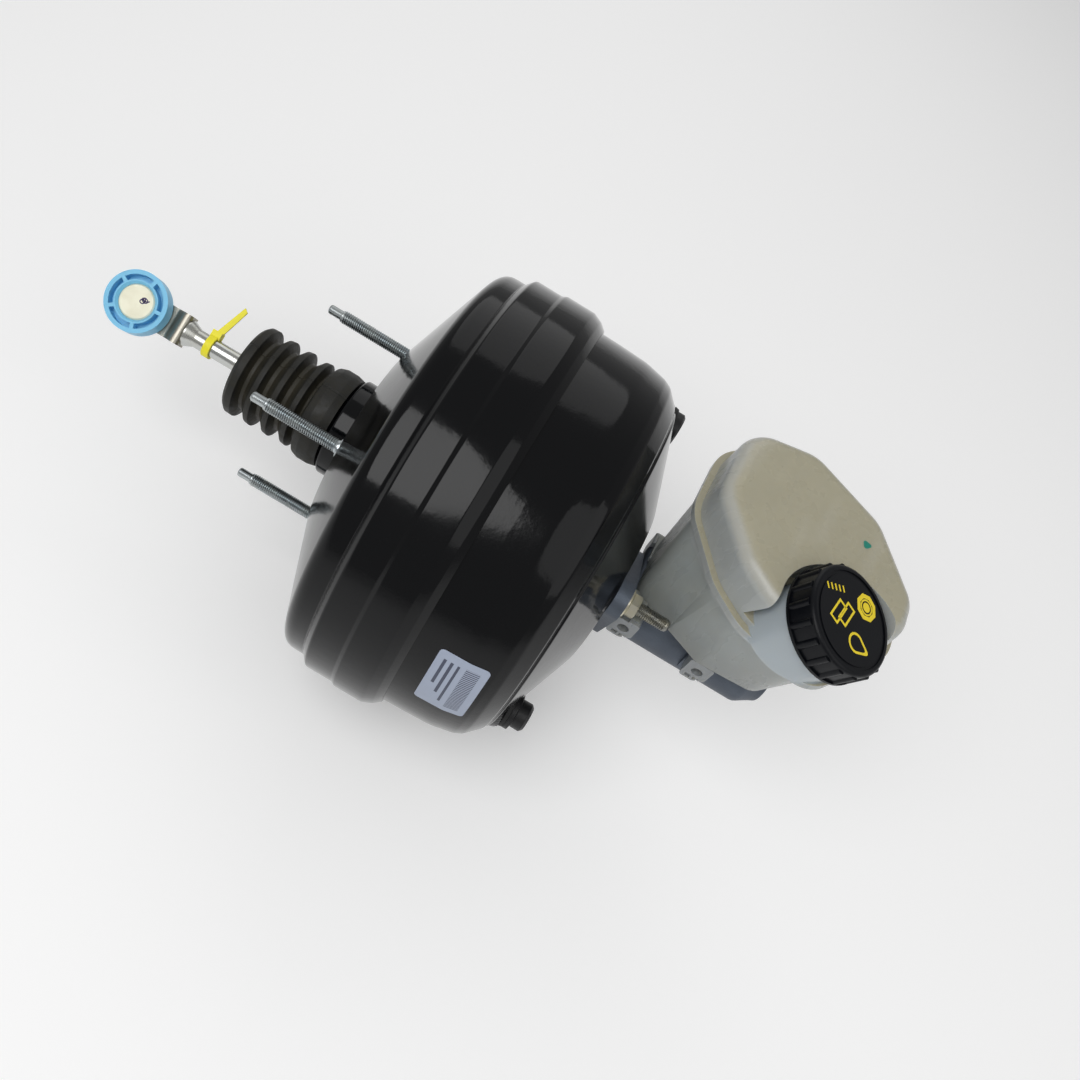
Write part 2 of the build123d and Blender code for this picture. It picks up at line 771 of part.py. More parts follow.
def pushrod_spring():
    """Spring between the retainer and the collar of the push rod."""
    end = SEAT_WALL_X - 12.0 - SEAT - 1.2 - SEAT
    return coil(-8.0 + SEAT, end, 12.2, 0.9, 3)


def air_filter():
    """Foam ring in the open end of the valve body tube."""
    return ring_x(TUBE_R - TUBE_WALL - SEAT, 9.2, NECK_TIP_X + 1.5, -12.0)


def input_rod():
    """Push rod: ball, collar for its spring, long shank, cone shoulder and tenon."""
    return turned([
        (BALL_X + BALL_R, 0),
        (BALL_X + 4.6, 3.19),
        (BALL_X + 2.6, 4.96),
        (BALL_X, BALL_R),
        (BALL_X - 2.6, 4.96),
        (BALL_X - 4.0, 3.92),
        (BALL_X - 7.0, 3.7),
        (4.0, 3.7),
        (0.0, ROD_R),
        (-8.0, ROD_R),
        (-8.0, 13.6),
        (-9.6, 13.6),
        (-9.6, ROD_R),
        (ROD_SHOULDER_X, ROD_R),
        (ROD_SHOULDER_X - 5.5, 8.2),
        (ROD_SHOULDER_X - 6.3, 8.2),
        (ROD_SHOULDER_X - 6.3, 4.0),
        (ROD_TENON_X, 4.0),
        (ROD_TENON_X, 0),
    ])


def eye_strap():
    """Joggled flat strap from the rod's tenon to the pedal eye."""
    knuckle_x = ROD_SHOULDER_X - 6.3 - SEAT
    low = -STRAP_T - 1.0
    side = [
        (EYE_X - 9.0, low),
        (EYE_X - 9.0, low + STRAP_T),
        (EYE_X + 20.5, low + STRAP_T),
        (EYE_X + 23.0, low + STRAP_T + 3.4),
        (knuckle_x - 5.0, 6.6),
        (knuckle_x, 6.6),
        (knuckle_x, -6.6),
        (knuckle_x - 5.0, -6.6),
        (EYE_X + 23.4, low),
    ]
    corners = [0, 0, 2.0, 1.2, 3.0, 3.0, 3.0, 3.0, 4.0]
    profile = Plane.XZ * outline_face(side, corners)
    strap = extrude(profile, STRAP_W / 2, both=True)
    plan = block(EYE_X, knuckle_x + 1, -STRAP_W / 2, STRAP_W / 2, -20, 20) + bar_z(STRAP_W / 2, -20, 20, EYE_X)
    strap = strap & plan
    strap -= bar_x(4.0 + SEAT, ROD_TENON_X - SEAT, knuckle_x + 1)
    strap -= bar_z(6.0 + SEAT, -20, 20, EYE_X)
    return Rot(EYE_ROLL, 0, 0) * strap


def pedal_pin():
    """Shouldered steel pin riveted in the strap, with a wide head inside the bush."""
    pin = Cylinder(PIN_R, BUSH_T - 1.0, align=FROM_BASE)
    pin = chamfer(pin.edges().group_by(Axis.Z)[-1], 0.8)
    neck = Pos(0, 0, -STRAP_T - 1.0 - 1.4) * Cylinder(6.0, STRAP_T + 2.4, align=FROM_BASE)
    rivet = Pos(0, 0, -STRAP_T - 1.0 - 1.8) * Cylinder(8.0, 1.8 - SEAT, align=FROM_BASE)
    step = Pos(0, 0, -1.0 + SEAT) * Cylinder(PIN_R, 1.2, align=FROM_BASE)
    return EYE_AT * (pin + neck + rivet + step)


def bush_ring():
    """Plastic bush that turns on the pin, with arc pockets between its webs."""
    rim = BUSH_R - 2.6
    lip = PIN_R + 0.1 + 2.2
    bush = Cylinder(BUSH_R, BUSH_T, align=FROM_BASE) - Pos(0, 0, -1) * Cylinder(PIN_R + 0.1, 2 + BUSH_T, align=FROM_BASE)
    pocket = Pos(0, 0, BUSH_T - 6.0) * (Cylinder(rim, 7, align=FROM_BASE) - Cylinder(lip, 7, align=FROM_BASE))
    for k in range(BUSH_WEBS):
        web = Pos(0, -1.1, BUSH_T - 7) * Box(30, 2.2, 9, align=(Align.MIN, Align.MIN, Align.MIN))
        pocket -= Rot(0, 0, 75 + 360 / BUSH_WEBS * k) * web
    bush -= pocket
    bush -= Pos(0, 0, BUSH_T - 1.6) * Cone(PIN_R + 0.1, BUSH_BORE_R + 0.6, 1.61, align=FROM_BASE)
    return EYE_AT * bush


def cable_tie():
    """Plastic tie round the push rod, with its lock head and a standing tail."""
    x = -104.0
    loop = ring_x(ROD_R + 1.5, ROD_R + SEAT, x - 2.2, x + 2.2)
    head = block(x - 3.0, x + 3.0, ROD_R - 0.4, ROD_R + 4.2, -2.6, 3.2)
    tail_plan = outline_face([
        (x - 1.9, ROD_R + 2.0),
        (x + 2.3, ROD_R + 2.0),
        (x + 8.2, ROD_R + 22.0),
        (x + 5.8, ROD_R + 24.0),
    ])
    tail = Pos(0, 0, -0.7) * extrude(tail_plan, 1.4)
    tie = loop + (head - bar_x(ROD_R + SEAT, x - 5, x + 5)) + tail
    return Rot(EYE_ROLL, 0, 0) * tie


def boot_outline():
    """Outer side of the boot, from the push rod to the neck."""
    path = [(BOOT_END_X, ROD_R + FREE), (BOOT_END_X, 20.5)]
    for k in range(BOOT_RIDGES):
        ridge_x = BOOT_END_X + 7.6 + BOOT_PITCH * k
        ridge_r = BOOT_RIDGE_R - 0.35 * k
        path.append((ridge_x - 3.4, ridge_r - 0.6))
        path.append((ridge_x, ridge_r))
        path.append((ridge_x + 2.9, BOOT_VALLEY_R))
        path.append((ridge_x + 5.0, BOOT_VALLEY_R))
    path[-1] = (path[-1][0] - 1.0, BOOT_VALLEY_R)
    path.append((-32.5, BOOT_BIG_R - 1.6))
    path.append((-28.0, BOOT_BIG_R))
    path.append((-21.5, BOOT_BIG_R))
    path.append((NECK_STEP_X - 0.6, NECK_TIP_R + BOOT_WALL + 0.6))
    return path


def boot():
    """Rubber boot, its cuff gripping the neck and its small end the push rod."""
    path = boot_outline()
    wall = pressed_sheet(path, [0.0] * len(path), BOOT_WALL)
    cuff = ring_x(BOOT_BIG_R - 3.4, NECK_TIP_R + SEAT, NECK_STEP_X - 7.0, NECK_STEP_X - 0.6)
    web = turned([
        (NECK_STEP_X - 7.0, NECK_TIP_R + SEAT),
        (NECK_STEP_X - 7.0, BOOT_BIG_R - 1.0),
        (NECK_STEP_X - 4.0, BOOT_BIG_R - 1.4),
        (NECK_STEP_X - 0.9, BOOT_BIG_R - 3.4),
        (NECK_STEP_X - 0.9, NECK_TIP_R + SEAT),
    ])
    return wall + cuff + web


def plan_at(points, corners, grow, z):
    """Reservoir outline at a height, grown or shrunk by an amount."""
    face = outline_face(points, corners)
    if grow:
        face = offset(face, amount=grow, kind=Kind.ARC)
    return Pos(0, 0, z) * face


def tank_hull(grow, z0, z1):
    """Hull of the lower tank between the base plan and the seam plan."""
    base = outline_face(
        BASE_PLAN if not grow else inset(BASE_PLAN, grow),
        [c + grow for c in BASE_CORNERS],
    )
    top = outline_face(
        TOP_PLAN if not grow else inset(TOP_PLAN, grow),
        [c + grow for c in TOP_CORNERS],
    )
    return loft([Pos(0, 0, z0) * base, Pos(0, 0, z1) * top], ruled=True)


def inset(points, grow):
    """Clockwise outline with mitred corners, moved outward by grow or inward when negative."""
    ring = [Vector(*p) for p in points]
    count = len(ring)
    moved = []
    for i, point in enumerate(ring):
        before = (point - ring[i - 1]).normalized()
        after = (ring[(i + 1) % count] - point).normalized()
        left_before = Vector(-before.Y, before.X)
        left_after = Vector(-after.Y, after.X)
        shift = (left_before + left_after) * (grow / (1 + left_before.dot(left_after)))
        moved.append((point.X + shift.X, point.Y + shift.Y))
    return moved


def reservoir_lug(x, side):
    """Fixing lug under the tank: a plate with a pin hole, small pockets and a web up to the wall."""
    inner = side * (LUG_Y - LUG_T)
    outer = side * LUG_Y
    low, high = min(inner, outer), max(inner, outer)
    face = outline_face(
        [
            (x - LUG_W / 2, LUG_PIN_Z + 8.6),
            (x + LUG_W / 2, LUG_PIN_Z + 8.6),
            (x + LUG_W / 2, LUG_PIN_Z - 5.0),
            (x + LUG_W / 2 - 6, LUG_PIN_Z - 10.0),
            (x - LUG_W / 2, LUG_PIN_Z - 10.0),
        ],
        [1.5, 1.5, 2.0, 2.0, 2.0],
    )
    plate = extrude(Plane.XZ.offset(-high) * face, high - low)
    plate -= bar_y(LUG_HOLE_R, low - 1, high + 1, x, LUG_PIN_Z)
    pocket_y0 = min(outer, outer - side * 1.5) - (0.5 if side < 0 else 0)
    for dx in (-4.6, 0.4):
        plate -= block(x + dx, x + dx + 3.6, pocket_y0, pocket_y0 + 2.0, LUG_PIN_Z - 8.6, LUG_PIN_Z - 5.6)
    web_in = side * 12.0
    plate += block(
        x - LUG_W / 2 + 2, x + LUG_W / 2 - 2, min(web_in, side * (LUG_Y - 2)), max(web_in, side * (LUG_Y - 2)),
        RAIL_Z + 0.6, TANK_Z + 1.0,
    )
    return plate


def reservoir_lower():
    """Lower tank moulding: hull, weld lip, four lugs and two feed nipples."""
    outside = tank_hull(0.0, TANK_Z, SEAM_Z)
    outside += extrude(plan_at(TOP_PLAN, TOP_CORNERS, SEAM_LIP, SEAM_Z - SEAM_T), SEAM_T)
    for x in LUG_X:
        for side in (-1, 1):
            outside += reservoir_lug(x, side)
    for x in FEED_X:
        outside += bar_z(NIPPLE_R, RAIL_Z - 7.5, TANK_Z + 1, x)
    cavity = tank_hull(-TANK_WALL, TANK_Z + TANK_WALL, SEAM_Z + 0.01)
    tank = outside - cavity
    for x in FEED_X:
        tank -= bar_z(NIPPLE_BORE_R, RAIL_Z - 9, TANK_Z + TANK_WALL + 1, x)
    for y, z in MC_STUDS:
        tank -= bar_x(STUD_R + 1.0, MC_FACE_X, MC_STUD_END_X + 2, y, z)
        tank -= bar_x(10.5, MC_FACE_X, MC_FACE_X + FLANGE_T + NUT_T + 1, y, z)
    return tank


def pocket(radius, floor_z):
    """Round pocket beside the filler neck, cut down to the deck."""
    well = NECK_AT * (Pos(0, 0, -40) * Cylinder(radius, 90, align=FROM_BASE))
    return well - block(150, 350, -150, 150, 0, floor_z)


def reservoir_upper():
    """Upper tank moulding: raised top with a pocket, weld lip and leaning filler neck."""
    height = TANK_TOP_Z - SEAM_Z
    outside = extrude(plan_at(TOP_PLAN, TOP_CORNERS, 1.5, SEAM_Z), height, taper=4)
    outside = fillet(outside.faces().sort_by(Axis.Z)[-1].edges(), 9)
    outside -= pocket(POCKET_R, DECK_Z)
    outside += extrude(plan_at(TOP_PLAN, TOP_CORNERS, SEAM_LIP, SEAM_Z), SEAM_T)
    cavity = extrude(plan_at(TOP_PLAN, TOP_CORNERS, -1.0, SEAM_Z - 0.01), height - TANK_WALL, taper=4)
    cavity = fillet(cavity.faces().sort_by(Axis.Z)[-1].edges(), 6)
    cavity -= pocket(POCKET_R + TANK_WALL, DECK_Z - TANK_WALL)
    shell = outside - cavity
    above_seam = block(150, 350, -150, 150, SEAM_Z, 200)
    above_floor = block(150, 350, -150, 150, SEAM_Z + 3.0, 200)
    neck = NECK_AT * (Pos(0, 0, -40) * Cylinder(FILLER_R, 40 + FILLER_H, align=FROM_BASE)) & above_seam
    bore = NECK_AT * (Pos(0, 0, -40) * Cylinder(FILLER_R - FILLER_WALL, 80, align=FROM_BASE))
    mouth = extrude(plan_at(TOP_PLAN, TOP_CORNERS, -TANK_WALL, SEAM_Z - 1), 5.0)
    return shell + neck - (bore & above_floor) - (bore & mouth)


def filler_screen():
    """Strainer basket hanging inside the filler neck, with slots in its wall."""
    radius = FILLER_R - FILLER_WALL - SEAT
    depth = 9.2
    basket = Pos(0, 0, -depth) * Cylinder(radius, depth + 2.5, align=FROM_BASE)
    basket -= Pos(0, 0, -depth + 1.6) * Cylinder(radius - 1.4, depth + 2.5, align=FROM_BASE)
    for k in range(8):
        slot = Pos(0, -3.5, -depth + 4) * Box(40, 7, 4.5, align=(Align.MIN, Align.MIN, Align.MIN))
        basket -= Rot(0, 0, 45 * k) * slot
    return NECK_AT * basket


def cap_gasket():
    """Rubber gasket on the neck's rim, with a cup that hangs into the neck."""
    rim_z = FILLER_H + 0.05
    gasket = Pos(0, 0, rim_z) * Cylinder(FILLER_R - 0.6, 1.8, align=FROM_BASE)
    cup_r = FILLER_R - FILLER_WALL - 1.2
    gasket += Pos(0, 0, rim_z - 7) * Cylinder(cup_r, 7.5, align=FROM_BASE)
    gasket -= Pos(0, 0, rim_z - 5.2) * Cylinder(cup_r - 1.8, 10, align=FROM_BASE)
    return NECK_AT * gasket


def filler_cap():
    """Screw cap with a base flange, grip ribs and a shallow recess in its top."""
    cap = Cylinder(CAP_R, CAP_H, align=FROM_BASE)
    cap = fillet(cap.edges().group_by(Axis.Z)[-1], 2.2)
    for k in range(CAP_RIBS):
        angle = 360 / CAP_RIBS * k
        rib = Pos(CAP_R - 1.0, 0, 0) * Cylinder(2.2, CAP_H - 2.4, align=FROM_BASE)
        rib = rib & Cylinder(CAP_RIB_R, CAP_H, align=FROM_BASE)
        cap += Rot(0, 0, angle) * rib
    cap += Cylinder(CAP_RIB_R, 1.6, align=FROM_BASE)
    cap -= Pos(0, 0, CAP_H - 0.7) * Cylinder(CAP_R - 3.2, 2, align=FROM_BASE)
    cap += Pos(0, 0, CAP_H - 1.0) * Cylinder(CAP_R - 5.0, 0.8, align=FROM_BASE)
    cap -= Pos(0, 0, -1) * Cylinder(FILLER_R + 0.4, 1 + CAP_H - CAP_WALL, align=FROM_BASE)
    return NECK_AT * cap


def reservoir_grommets():
    """Rubber grommets that seal the tank's nipples in the master cylinder."""
    rings = []
    for x in FEED_X:
        sleeve = bar_z(11.0 - SEAT, 15.7, RAIL_Z + 1.2, x) + bar_z(12.6, RAIL_Z + 1.1, TANK_Z - SEAT, x)
        rings.append(sleeve - bar_z(NIPPLE_R + SEAT, 15, TANK_Z + 1, x))
    return rings


def retaining_pins():
    """Two steel pins that hold the tank's lugs to the master cylinder's rails."""
    return [bar_y(PIN_BAR_R, -LUG_Y + 4.5, LUG_Y - 4.5, x, LUG_PIN_Z) for x in LUG_X]


def port_grommet(direction, pitch_r, flat_x):
    """Grommet in one of the front shell's seats."""
    y, z = direction[0] * pitch_r, direction[1] * pitch_r
    ring = turned([
        (flat_x - SHELL_WALL - 3.2, 5.2),
        (flat_x - SHELL_WALL - 3.2, VALVE_HOLE_R),
        (flat_x - SHELL_WALL - SEAT, VALVE_HOLE_R + 1.6),
        (flat_x - SHELL_WALL - SEAT, VALVE_HOLE_R - SEAT),
        (flat_x + SEAT, VALVE_HOLE_R - SEAT),
        (flat_x + SEAT, VALVE_HOLE_R + 3.0),
        (flat_x + 2.6, VALVE_HOLE_R + 2.4),
        (flat_x + 2.6, 5.2),
    ])
    return Pos(0, y, z) * ring


def check_valve():
    """Vacuum check valve: stem in the grommet, round chamber and a side nipple for the hose."""
    y, z = VALVE_DIR[0] * VALVE_R, VALVE_DIR[1] * VALVE_R
    start = VALVE_X + 2.6 + SEAT
    body = turned([
        (VALVE_X - 8.0, 2.4),
        (VALVE_X - 8.0, 4.6),
        (VALVE_X - 6.4, 5.6),
        (VALVE_X - 4.9, 5.6),
        (VALVE_X - 4.9, 5.2 - SEAT),
        (start, 5.2 - SEAT),
        (start, 11.6),
        (start + 2.6, 11.6),
        (start + 3.4, 9.0),
        (start + 9.4, 9.0),
        (start + 11.0, 7.4),
        (start + 11.0, 0),
        (start + 8.0, 0),
        (start + 6.6, 2.4),
    ])
    nipple = Cylinder(NIPPLE_HOSE_R, 8.0 + NIPPLE_HOSE_L, align=FROM_BASE)
    nipple += Pos(0, 0, 5.0 + NIPPLE_HOSE_L) * Cone(NIPPLE_HOSE_R + 0.7, NIPPLE_HOSE_R - 0.6, 3.0, align=FROM_BASE)
    bore = Cylinder(2.6, 10 + NIPPLE_HOSE_L, align=FROM_BASE)
    lean = degrees(atan2(VALVE_DIR[1], VALVE_DIR[0]))
    side = Pos(start + 5.2, 0, 0) * Rot(lean, 0, 0)
    return Pos(0, y, z) * (body + side * nipple - side * bore)


def port_plug():
    """Blanking plug of the spare vacuum port."""
    y, z = PLUG_DIR[0] * PLUG_PITCH_R, PLUG_DIR[1] * PLUG_PITCH_R
    start = PLUG_X + 2.6 + SEAT
    plug = turned([
        (PLUG_X - 7.0, 0),
        (PLUG_X - 7.0, 5.2 - SEAT),
        (start, 5.2 - SEAT),
        (start, 10.4),
        (start + 4.4, 10.4),
        (start + 5.6, 9.0),
        (start + 5.6, 0),
    ])
    return Pos(0, y, z) * plug


PARTS = {
    "rear_shell": rear_shell,
    "front_shell": front_shell,
    "centre_plate": centre_plate,
    "stud_plate": stud_plate,
    "bulkhead_studs": bulkhead_studs,
    "neck_bush": neck_bush,
    "neck_seal": neck_seal,
    "centre_seal": centre_seal,
    "front_seal": front_seal,
    "master_cylinder_studs": master_cylinder_studs,
    "master_cylinder_nuts": master_cylinder_nuts,
    "master_cylinder_body": master_cylinder_body,
    "piston_stop_ring": piston_stop_ring,
    "primary_piston": primary_piston,
    "primary_cups": primary_cups,
    "primary_spring": primary_spring,
    "secondary_piston": secondary_piston,
    "secondary_cups": secondary_cups,
    "secondary_spring": secondary_spring,
    "valve_body": valve_body,
    "rear_plate": rear_plate,
    "rear_diaphragm": rear_diaphragm,
    "front_plate": front_plate,
    "front_diaphragm": front_diaphragm,
    "plate_retainer": plate_retainer,
    "return_spring": return_spring,
    "reaction_disc": reaction_disc,
    "output_rod": output_rod,
    "valve_key": valve_key,
    "control_plunger": control_plunger,
    "poppet_valve": poppet_valve,
    "poppet_retainer": poppet_retainer,
    "pushrod_spring": pushrod_spring,
    "air_filter": air_filter,
    "input_rod": input_rod,
    "eye_strap": eye_strap,
    "pedal_pin": pedal_pin,
    "bush_ring": bush_ring,
    "cable_tie": cable_tie,
    "boot": boot,
    "reservoir_lower": reservoir_lower,
    "reservoir_upper": reservoir_upper,
    "reservoir_grommets": reservoir_grommets,
    "retaining_pins": retaining_pins,
    "filler_screen": filler_screen,
    "cap_gasket": cap_gasket,
    "filler_cap": filler_cap,
    "check_valve_grommet": lambda: port_grommet(VALVE_DIR, VALVE_R, VALVE_X),
    "check_valve": check_valve,
    "plug_grommet": lambda: port_grommet(PLUG_DIR, PLUG_PITCH_R, PLUG_X),
    "port_plug": port_plug,
}


def write_parts():
    """Write one STEP file for each named piece."""
    os.makedirs("parts", exist_ok=True)
    for name, make in PARTS.items():
        shape = make()
        if isinstance(shape, list):
            shape = Compound(children=[Compound(s.solids()) if len(s.solids()) > 1 else s.solids()[0] for s in shape])
        export_step(shape, f"parts/{name}.step")


write_parts()
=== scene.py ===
"""Brake booster: visible pieces, finishes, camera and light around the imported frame."""

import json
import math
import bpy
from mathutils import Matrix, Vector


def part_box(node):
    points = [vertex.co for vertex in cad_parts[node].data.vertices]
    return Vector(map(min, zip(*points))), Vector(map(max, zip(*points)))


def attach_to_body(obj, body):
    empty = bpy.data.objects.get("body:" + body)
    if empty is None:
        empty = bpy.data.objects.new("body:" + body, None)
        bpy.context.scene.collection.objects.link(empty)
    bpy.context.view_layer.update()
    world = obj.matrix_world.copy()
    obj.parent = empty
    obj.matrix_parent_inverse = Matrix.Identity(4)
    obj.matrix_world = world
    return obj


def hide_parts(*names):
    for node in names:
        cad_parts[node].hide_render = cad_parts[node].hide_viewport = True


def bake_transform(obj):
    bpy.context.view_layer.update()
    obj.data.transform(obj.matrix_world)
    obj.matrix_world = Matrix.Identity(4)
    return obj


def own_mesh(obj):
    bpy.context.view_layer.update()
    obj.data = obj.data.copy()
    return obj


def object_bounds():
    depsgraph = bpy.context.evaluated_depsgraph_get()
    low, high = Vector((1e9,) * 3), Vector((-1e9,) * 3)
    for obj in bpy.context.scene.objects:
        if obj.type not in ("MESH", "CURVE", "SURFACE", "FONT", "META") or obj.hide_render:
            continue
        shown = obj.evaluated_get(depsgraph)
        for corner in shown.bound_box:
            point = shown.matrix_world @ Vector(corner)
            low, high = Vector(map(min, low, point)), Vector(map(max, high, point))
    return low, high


bl_info = {
    "name": "Brake booster dresser",
    "version": (1, 0, 0),
    "blender": (4, 5, 0),
    "location": "View3D > Sidebar > Booster",
    "description": "Builds the visible pieces and finishes of a vacuum brake booster",
    "category": "Object",
}

import bmesh
import bpy
from mathutils import Matrix, Vector, noise

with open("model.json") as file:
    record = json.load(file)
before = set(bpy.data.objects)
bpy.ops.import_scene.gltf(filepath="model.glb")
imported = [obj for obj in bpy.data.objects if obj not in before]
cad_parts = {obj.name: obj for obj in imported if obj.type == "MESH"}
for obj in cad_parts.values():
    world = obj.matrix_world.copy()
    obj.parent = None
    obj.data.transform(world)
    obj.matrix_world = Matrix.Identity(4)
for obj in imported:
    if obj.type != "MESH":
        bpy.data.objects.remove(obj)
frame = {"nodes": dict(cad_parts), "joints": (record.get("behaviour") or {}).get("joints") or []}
CAD_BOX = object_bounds()

MM = 0.001

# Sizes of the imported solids, in millimetres, that the scene's own pieces meet
STUD_Y = 40.0
STUD_Z = 37.5
FLANGE_STUD_Y = 28.0
FLANGE_STUD_Z = 35.0
FLANGE_X = 167.0
CONE_START_X = 125.0
DRUM_STATIONS = [(100.0, 122.7), (118.0, 122.0), (131.5, 119.3)]
VALLEY_R = 21.8
ROD_R = 5.95
PIN_FACE = 9.06
EYE_ROLL = math.radians(35)
CAP_FACE = 15.8
HUB_BORE_R = 25.05

# The filler neck, the paint dot and the heights that part the tank's finishes, in metres
NECK_LEAN = math.radians(20)
NECK_FOOT = (0.2585, -0.030, 0.108)
NECK_UP = (math.sin(NECK_LEAN), 0.0, math.cos(NECK_LEAN))
NECK_R = 0.0261
PAINT_DOT_PLACE = (0.2621, 0.0236, 0.1170)
LUG_TOP_Z = 0.0275
SEAM_Z = 0.0810

# Round lamps: name, place, target, size in metres and share of the key lamp's power
LAMPS = [
    ("key", (-0.28, -0.72, 1.2), (0.05, 0.0, 0.0), 1.0, 1.0),
    ("fill", (1.1, -0.5, 1.0), (0.1, 0.0, 0.0), 1.4, 0.45),
    ("rim", (-0.2, 1.1, 0.9), (0.05, 0.0, 0.0), 1.2, 0.32),
]
ROOM_LIGHT = 0.36
FLOOR_GLOW = 0.17

# The photograph's camera: its frame, its place in millimetres and two of its axes
PHOTO_SIZE = 1080.0
SENSOR = 36.0
CAMERA_PLACE = (98.33, -362.63, 509.99)
CAMERA_RIGHT = (0.8563, 0.4031, 0.3228)
CAMERA_BACK = (-0.0321, -0.5823, 0.8124)


# Sizes and colours that a user may change


class ShellSettings(bpy.types.PropertyGroup):
    steps: bpy.props.IntProperty(
        name="Steps round", description="Faces round each pressed shell", default=360, min=64)
    wall: bpy.props.FloatProperty(
        name="Wall", description="Thickness of the pressed steel", default=1.6 * MM, unit="LENGTH")
    seat_blend: bpy.props.FloatProperty(
        name="Seat blend", description="Width of the soft edge round a pressed seat", default=4.0 * MM,
        unit="LENGTH")
    enamel: bpy.props.FloatVectorProperty(
        name="Enamel", description="Gloss black of the shells", subtype="COLOR",
        default=(0.0020, 0.0022, 0.0028))


class StudSettings(bpy.types.PropertyGroup):
    radius: bpy.props.FloatProperty(
        name="Radius", description="Outer radius of the thread", default=4.0 * MM, unit="LENGTH")
    pitch: bpy.props.FloatProperty(
        name="Pitch", description="Distance between two thread crests", default=1.25 * MM, unit="LENGTH")
    depth: bpy.props.FloatProperty(
        name="Depth", description="Depth of the thread", default=0.62 * MM, unit="LENGTH")
    zinc: bpy.props.FloatVectorProperty(
        name="Zinc", description="Plated steel of the studs", subtype="COLOR", default=(0.44, 0.48, 0.50))


class BootSettings(bpy.types.PropertyGroup):
    wall: bpy.props.FloatProperty(
        name="Wall", description="Thickness of the rubber", default=2.0 * MM, unit="LENGTH")
    pitch: bpy.props.FloatProperty(
        name="Pitch", description="Distance between two folds", default=11.9 * MM, unit="LENGTH")
    rubber: bpy.props.FloatVectorProperty(
        name="Rubber", description="Matte rubber of the boot", subtype="COLOR", default=(0.010, 0.010, 0.008))


class TankSettings(bpy.types.PropertyGroup):
    milk: bpy.props.FloatVectorProperty(
        name="Milk", description="Milky plastic of the tank's top", subtype="COLOR",
        default=(0.40, 0.375, 0.275))
    # Painted shade: the colour of the tank below the seam, which the finish makes darker towards the bottom.
    shade: bpy.props.FloatVectorProperty(
        name="Shade", description="Milky plastic where the tank is deep", subtype="COLOR",
        default=(0.29, 0.315, 0.31))
    scatter: bpy.props.FloatProperty(
        name="Scatter", description="Share of light that spreads inside the plastic", subtype="FACTOR",
        default=0.35, min=0.0, max=1.0)


class CapSettings(bpy.types.PropertyGroup):
    plastic: bpy.props.FloatVectorProperty(
        name="Plastic", description="Black of the cap", subtype="COLOR", default=(0.0022, 0.0028, 0.0045))
    ink: bpy.props.FloatVectorProperty(
        name="Ink", description="Yellow of the marks on the cap", subtype="COLOR", default=(0.86, 0.66, 0.02))


class StageSettings(bpy.types.PropertyGroup):
    focal_px: bpy.props.FloatProperty(
        name="Focal length", description="Focal length in pixels of a 1080 pixel frame", subtype="PIXEL",
        default=1062.6)
    floor: bpy.props.FloatVectorProperty(
        name="Floor", description="Pale floor", subtype="COLOR", default=(0.90, 0.90, 0.90))
    key: bpy.props.FloatProperty(
        name="Key", description="Power of the large lamp in watts", unit="POWER", default=9.0)


SETTINGS = {
    "booster_shell": ShellSettings,
    "booster_stud": StudSettings,
    "booster_boot": BootSettings,
    "booster_tank": TankSettings,
    "booster_cap": CapSettings,
    "booster_stage": StageSettings,
}


# Shader expressions


class Wire:
    """One output of a shader node. Arithmetic adds Math, Vector Math or Mix nodes by its type."""

    def __init__(self, finish, socket):
        self.finish = finish
        self.socket = socket

    def join(self, operation, first, second):
        kinds = [w.socket.type for w in (first, second) if isinstance(w, Wire)]
        if "RGBA" in kinds:
            return self.finish.node(
                "ShaderNodeMix", {"data_type": "RGBA", "blend_type": operation},
                {0: 1.0, 6: opaque(first), 7: opaque(second)}, 2)
        kind = "ShaderNodeVectorMath" if "VECTOR" in kinds else "ShaderNodeMath"
        return self.finish.node(kind, {"operation": operation}, {0: first, 1: second})

    def __add__(self, other):
        return self.join("ADD", self, other)

    def __radd__(self, other):
        return self.join("ADD", other, self)

    def __sub__(self, other):
        return self.join("SUBTRACT", self, other)

    def __rsub__(self, other):
        return self.join("SUBTRACT", other, self)

    def __mul__(self, other):
        return self.join("MULTIPLY", self, other)

    def __rmul__(self, other):
        return self.join("MULTIPLY", other, self)


def opaque(value):
    """A colour with its alpha, or a plain number as a grey; wires pass through."""
    if isinstance(value, Wire):
        return value
    if isinstance(value, (int, float)):
        return (value, value, value, 1.0)
    return (*value[:3], 1.0)


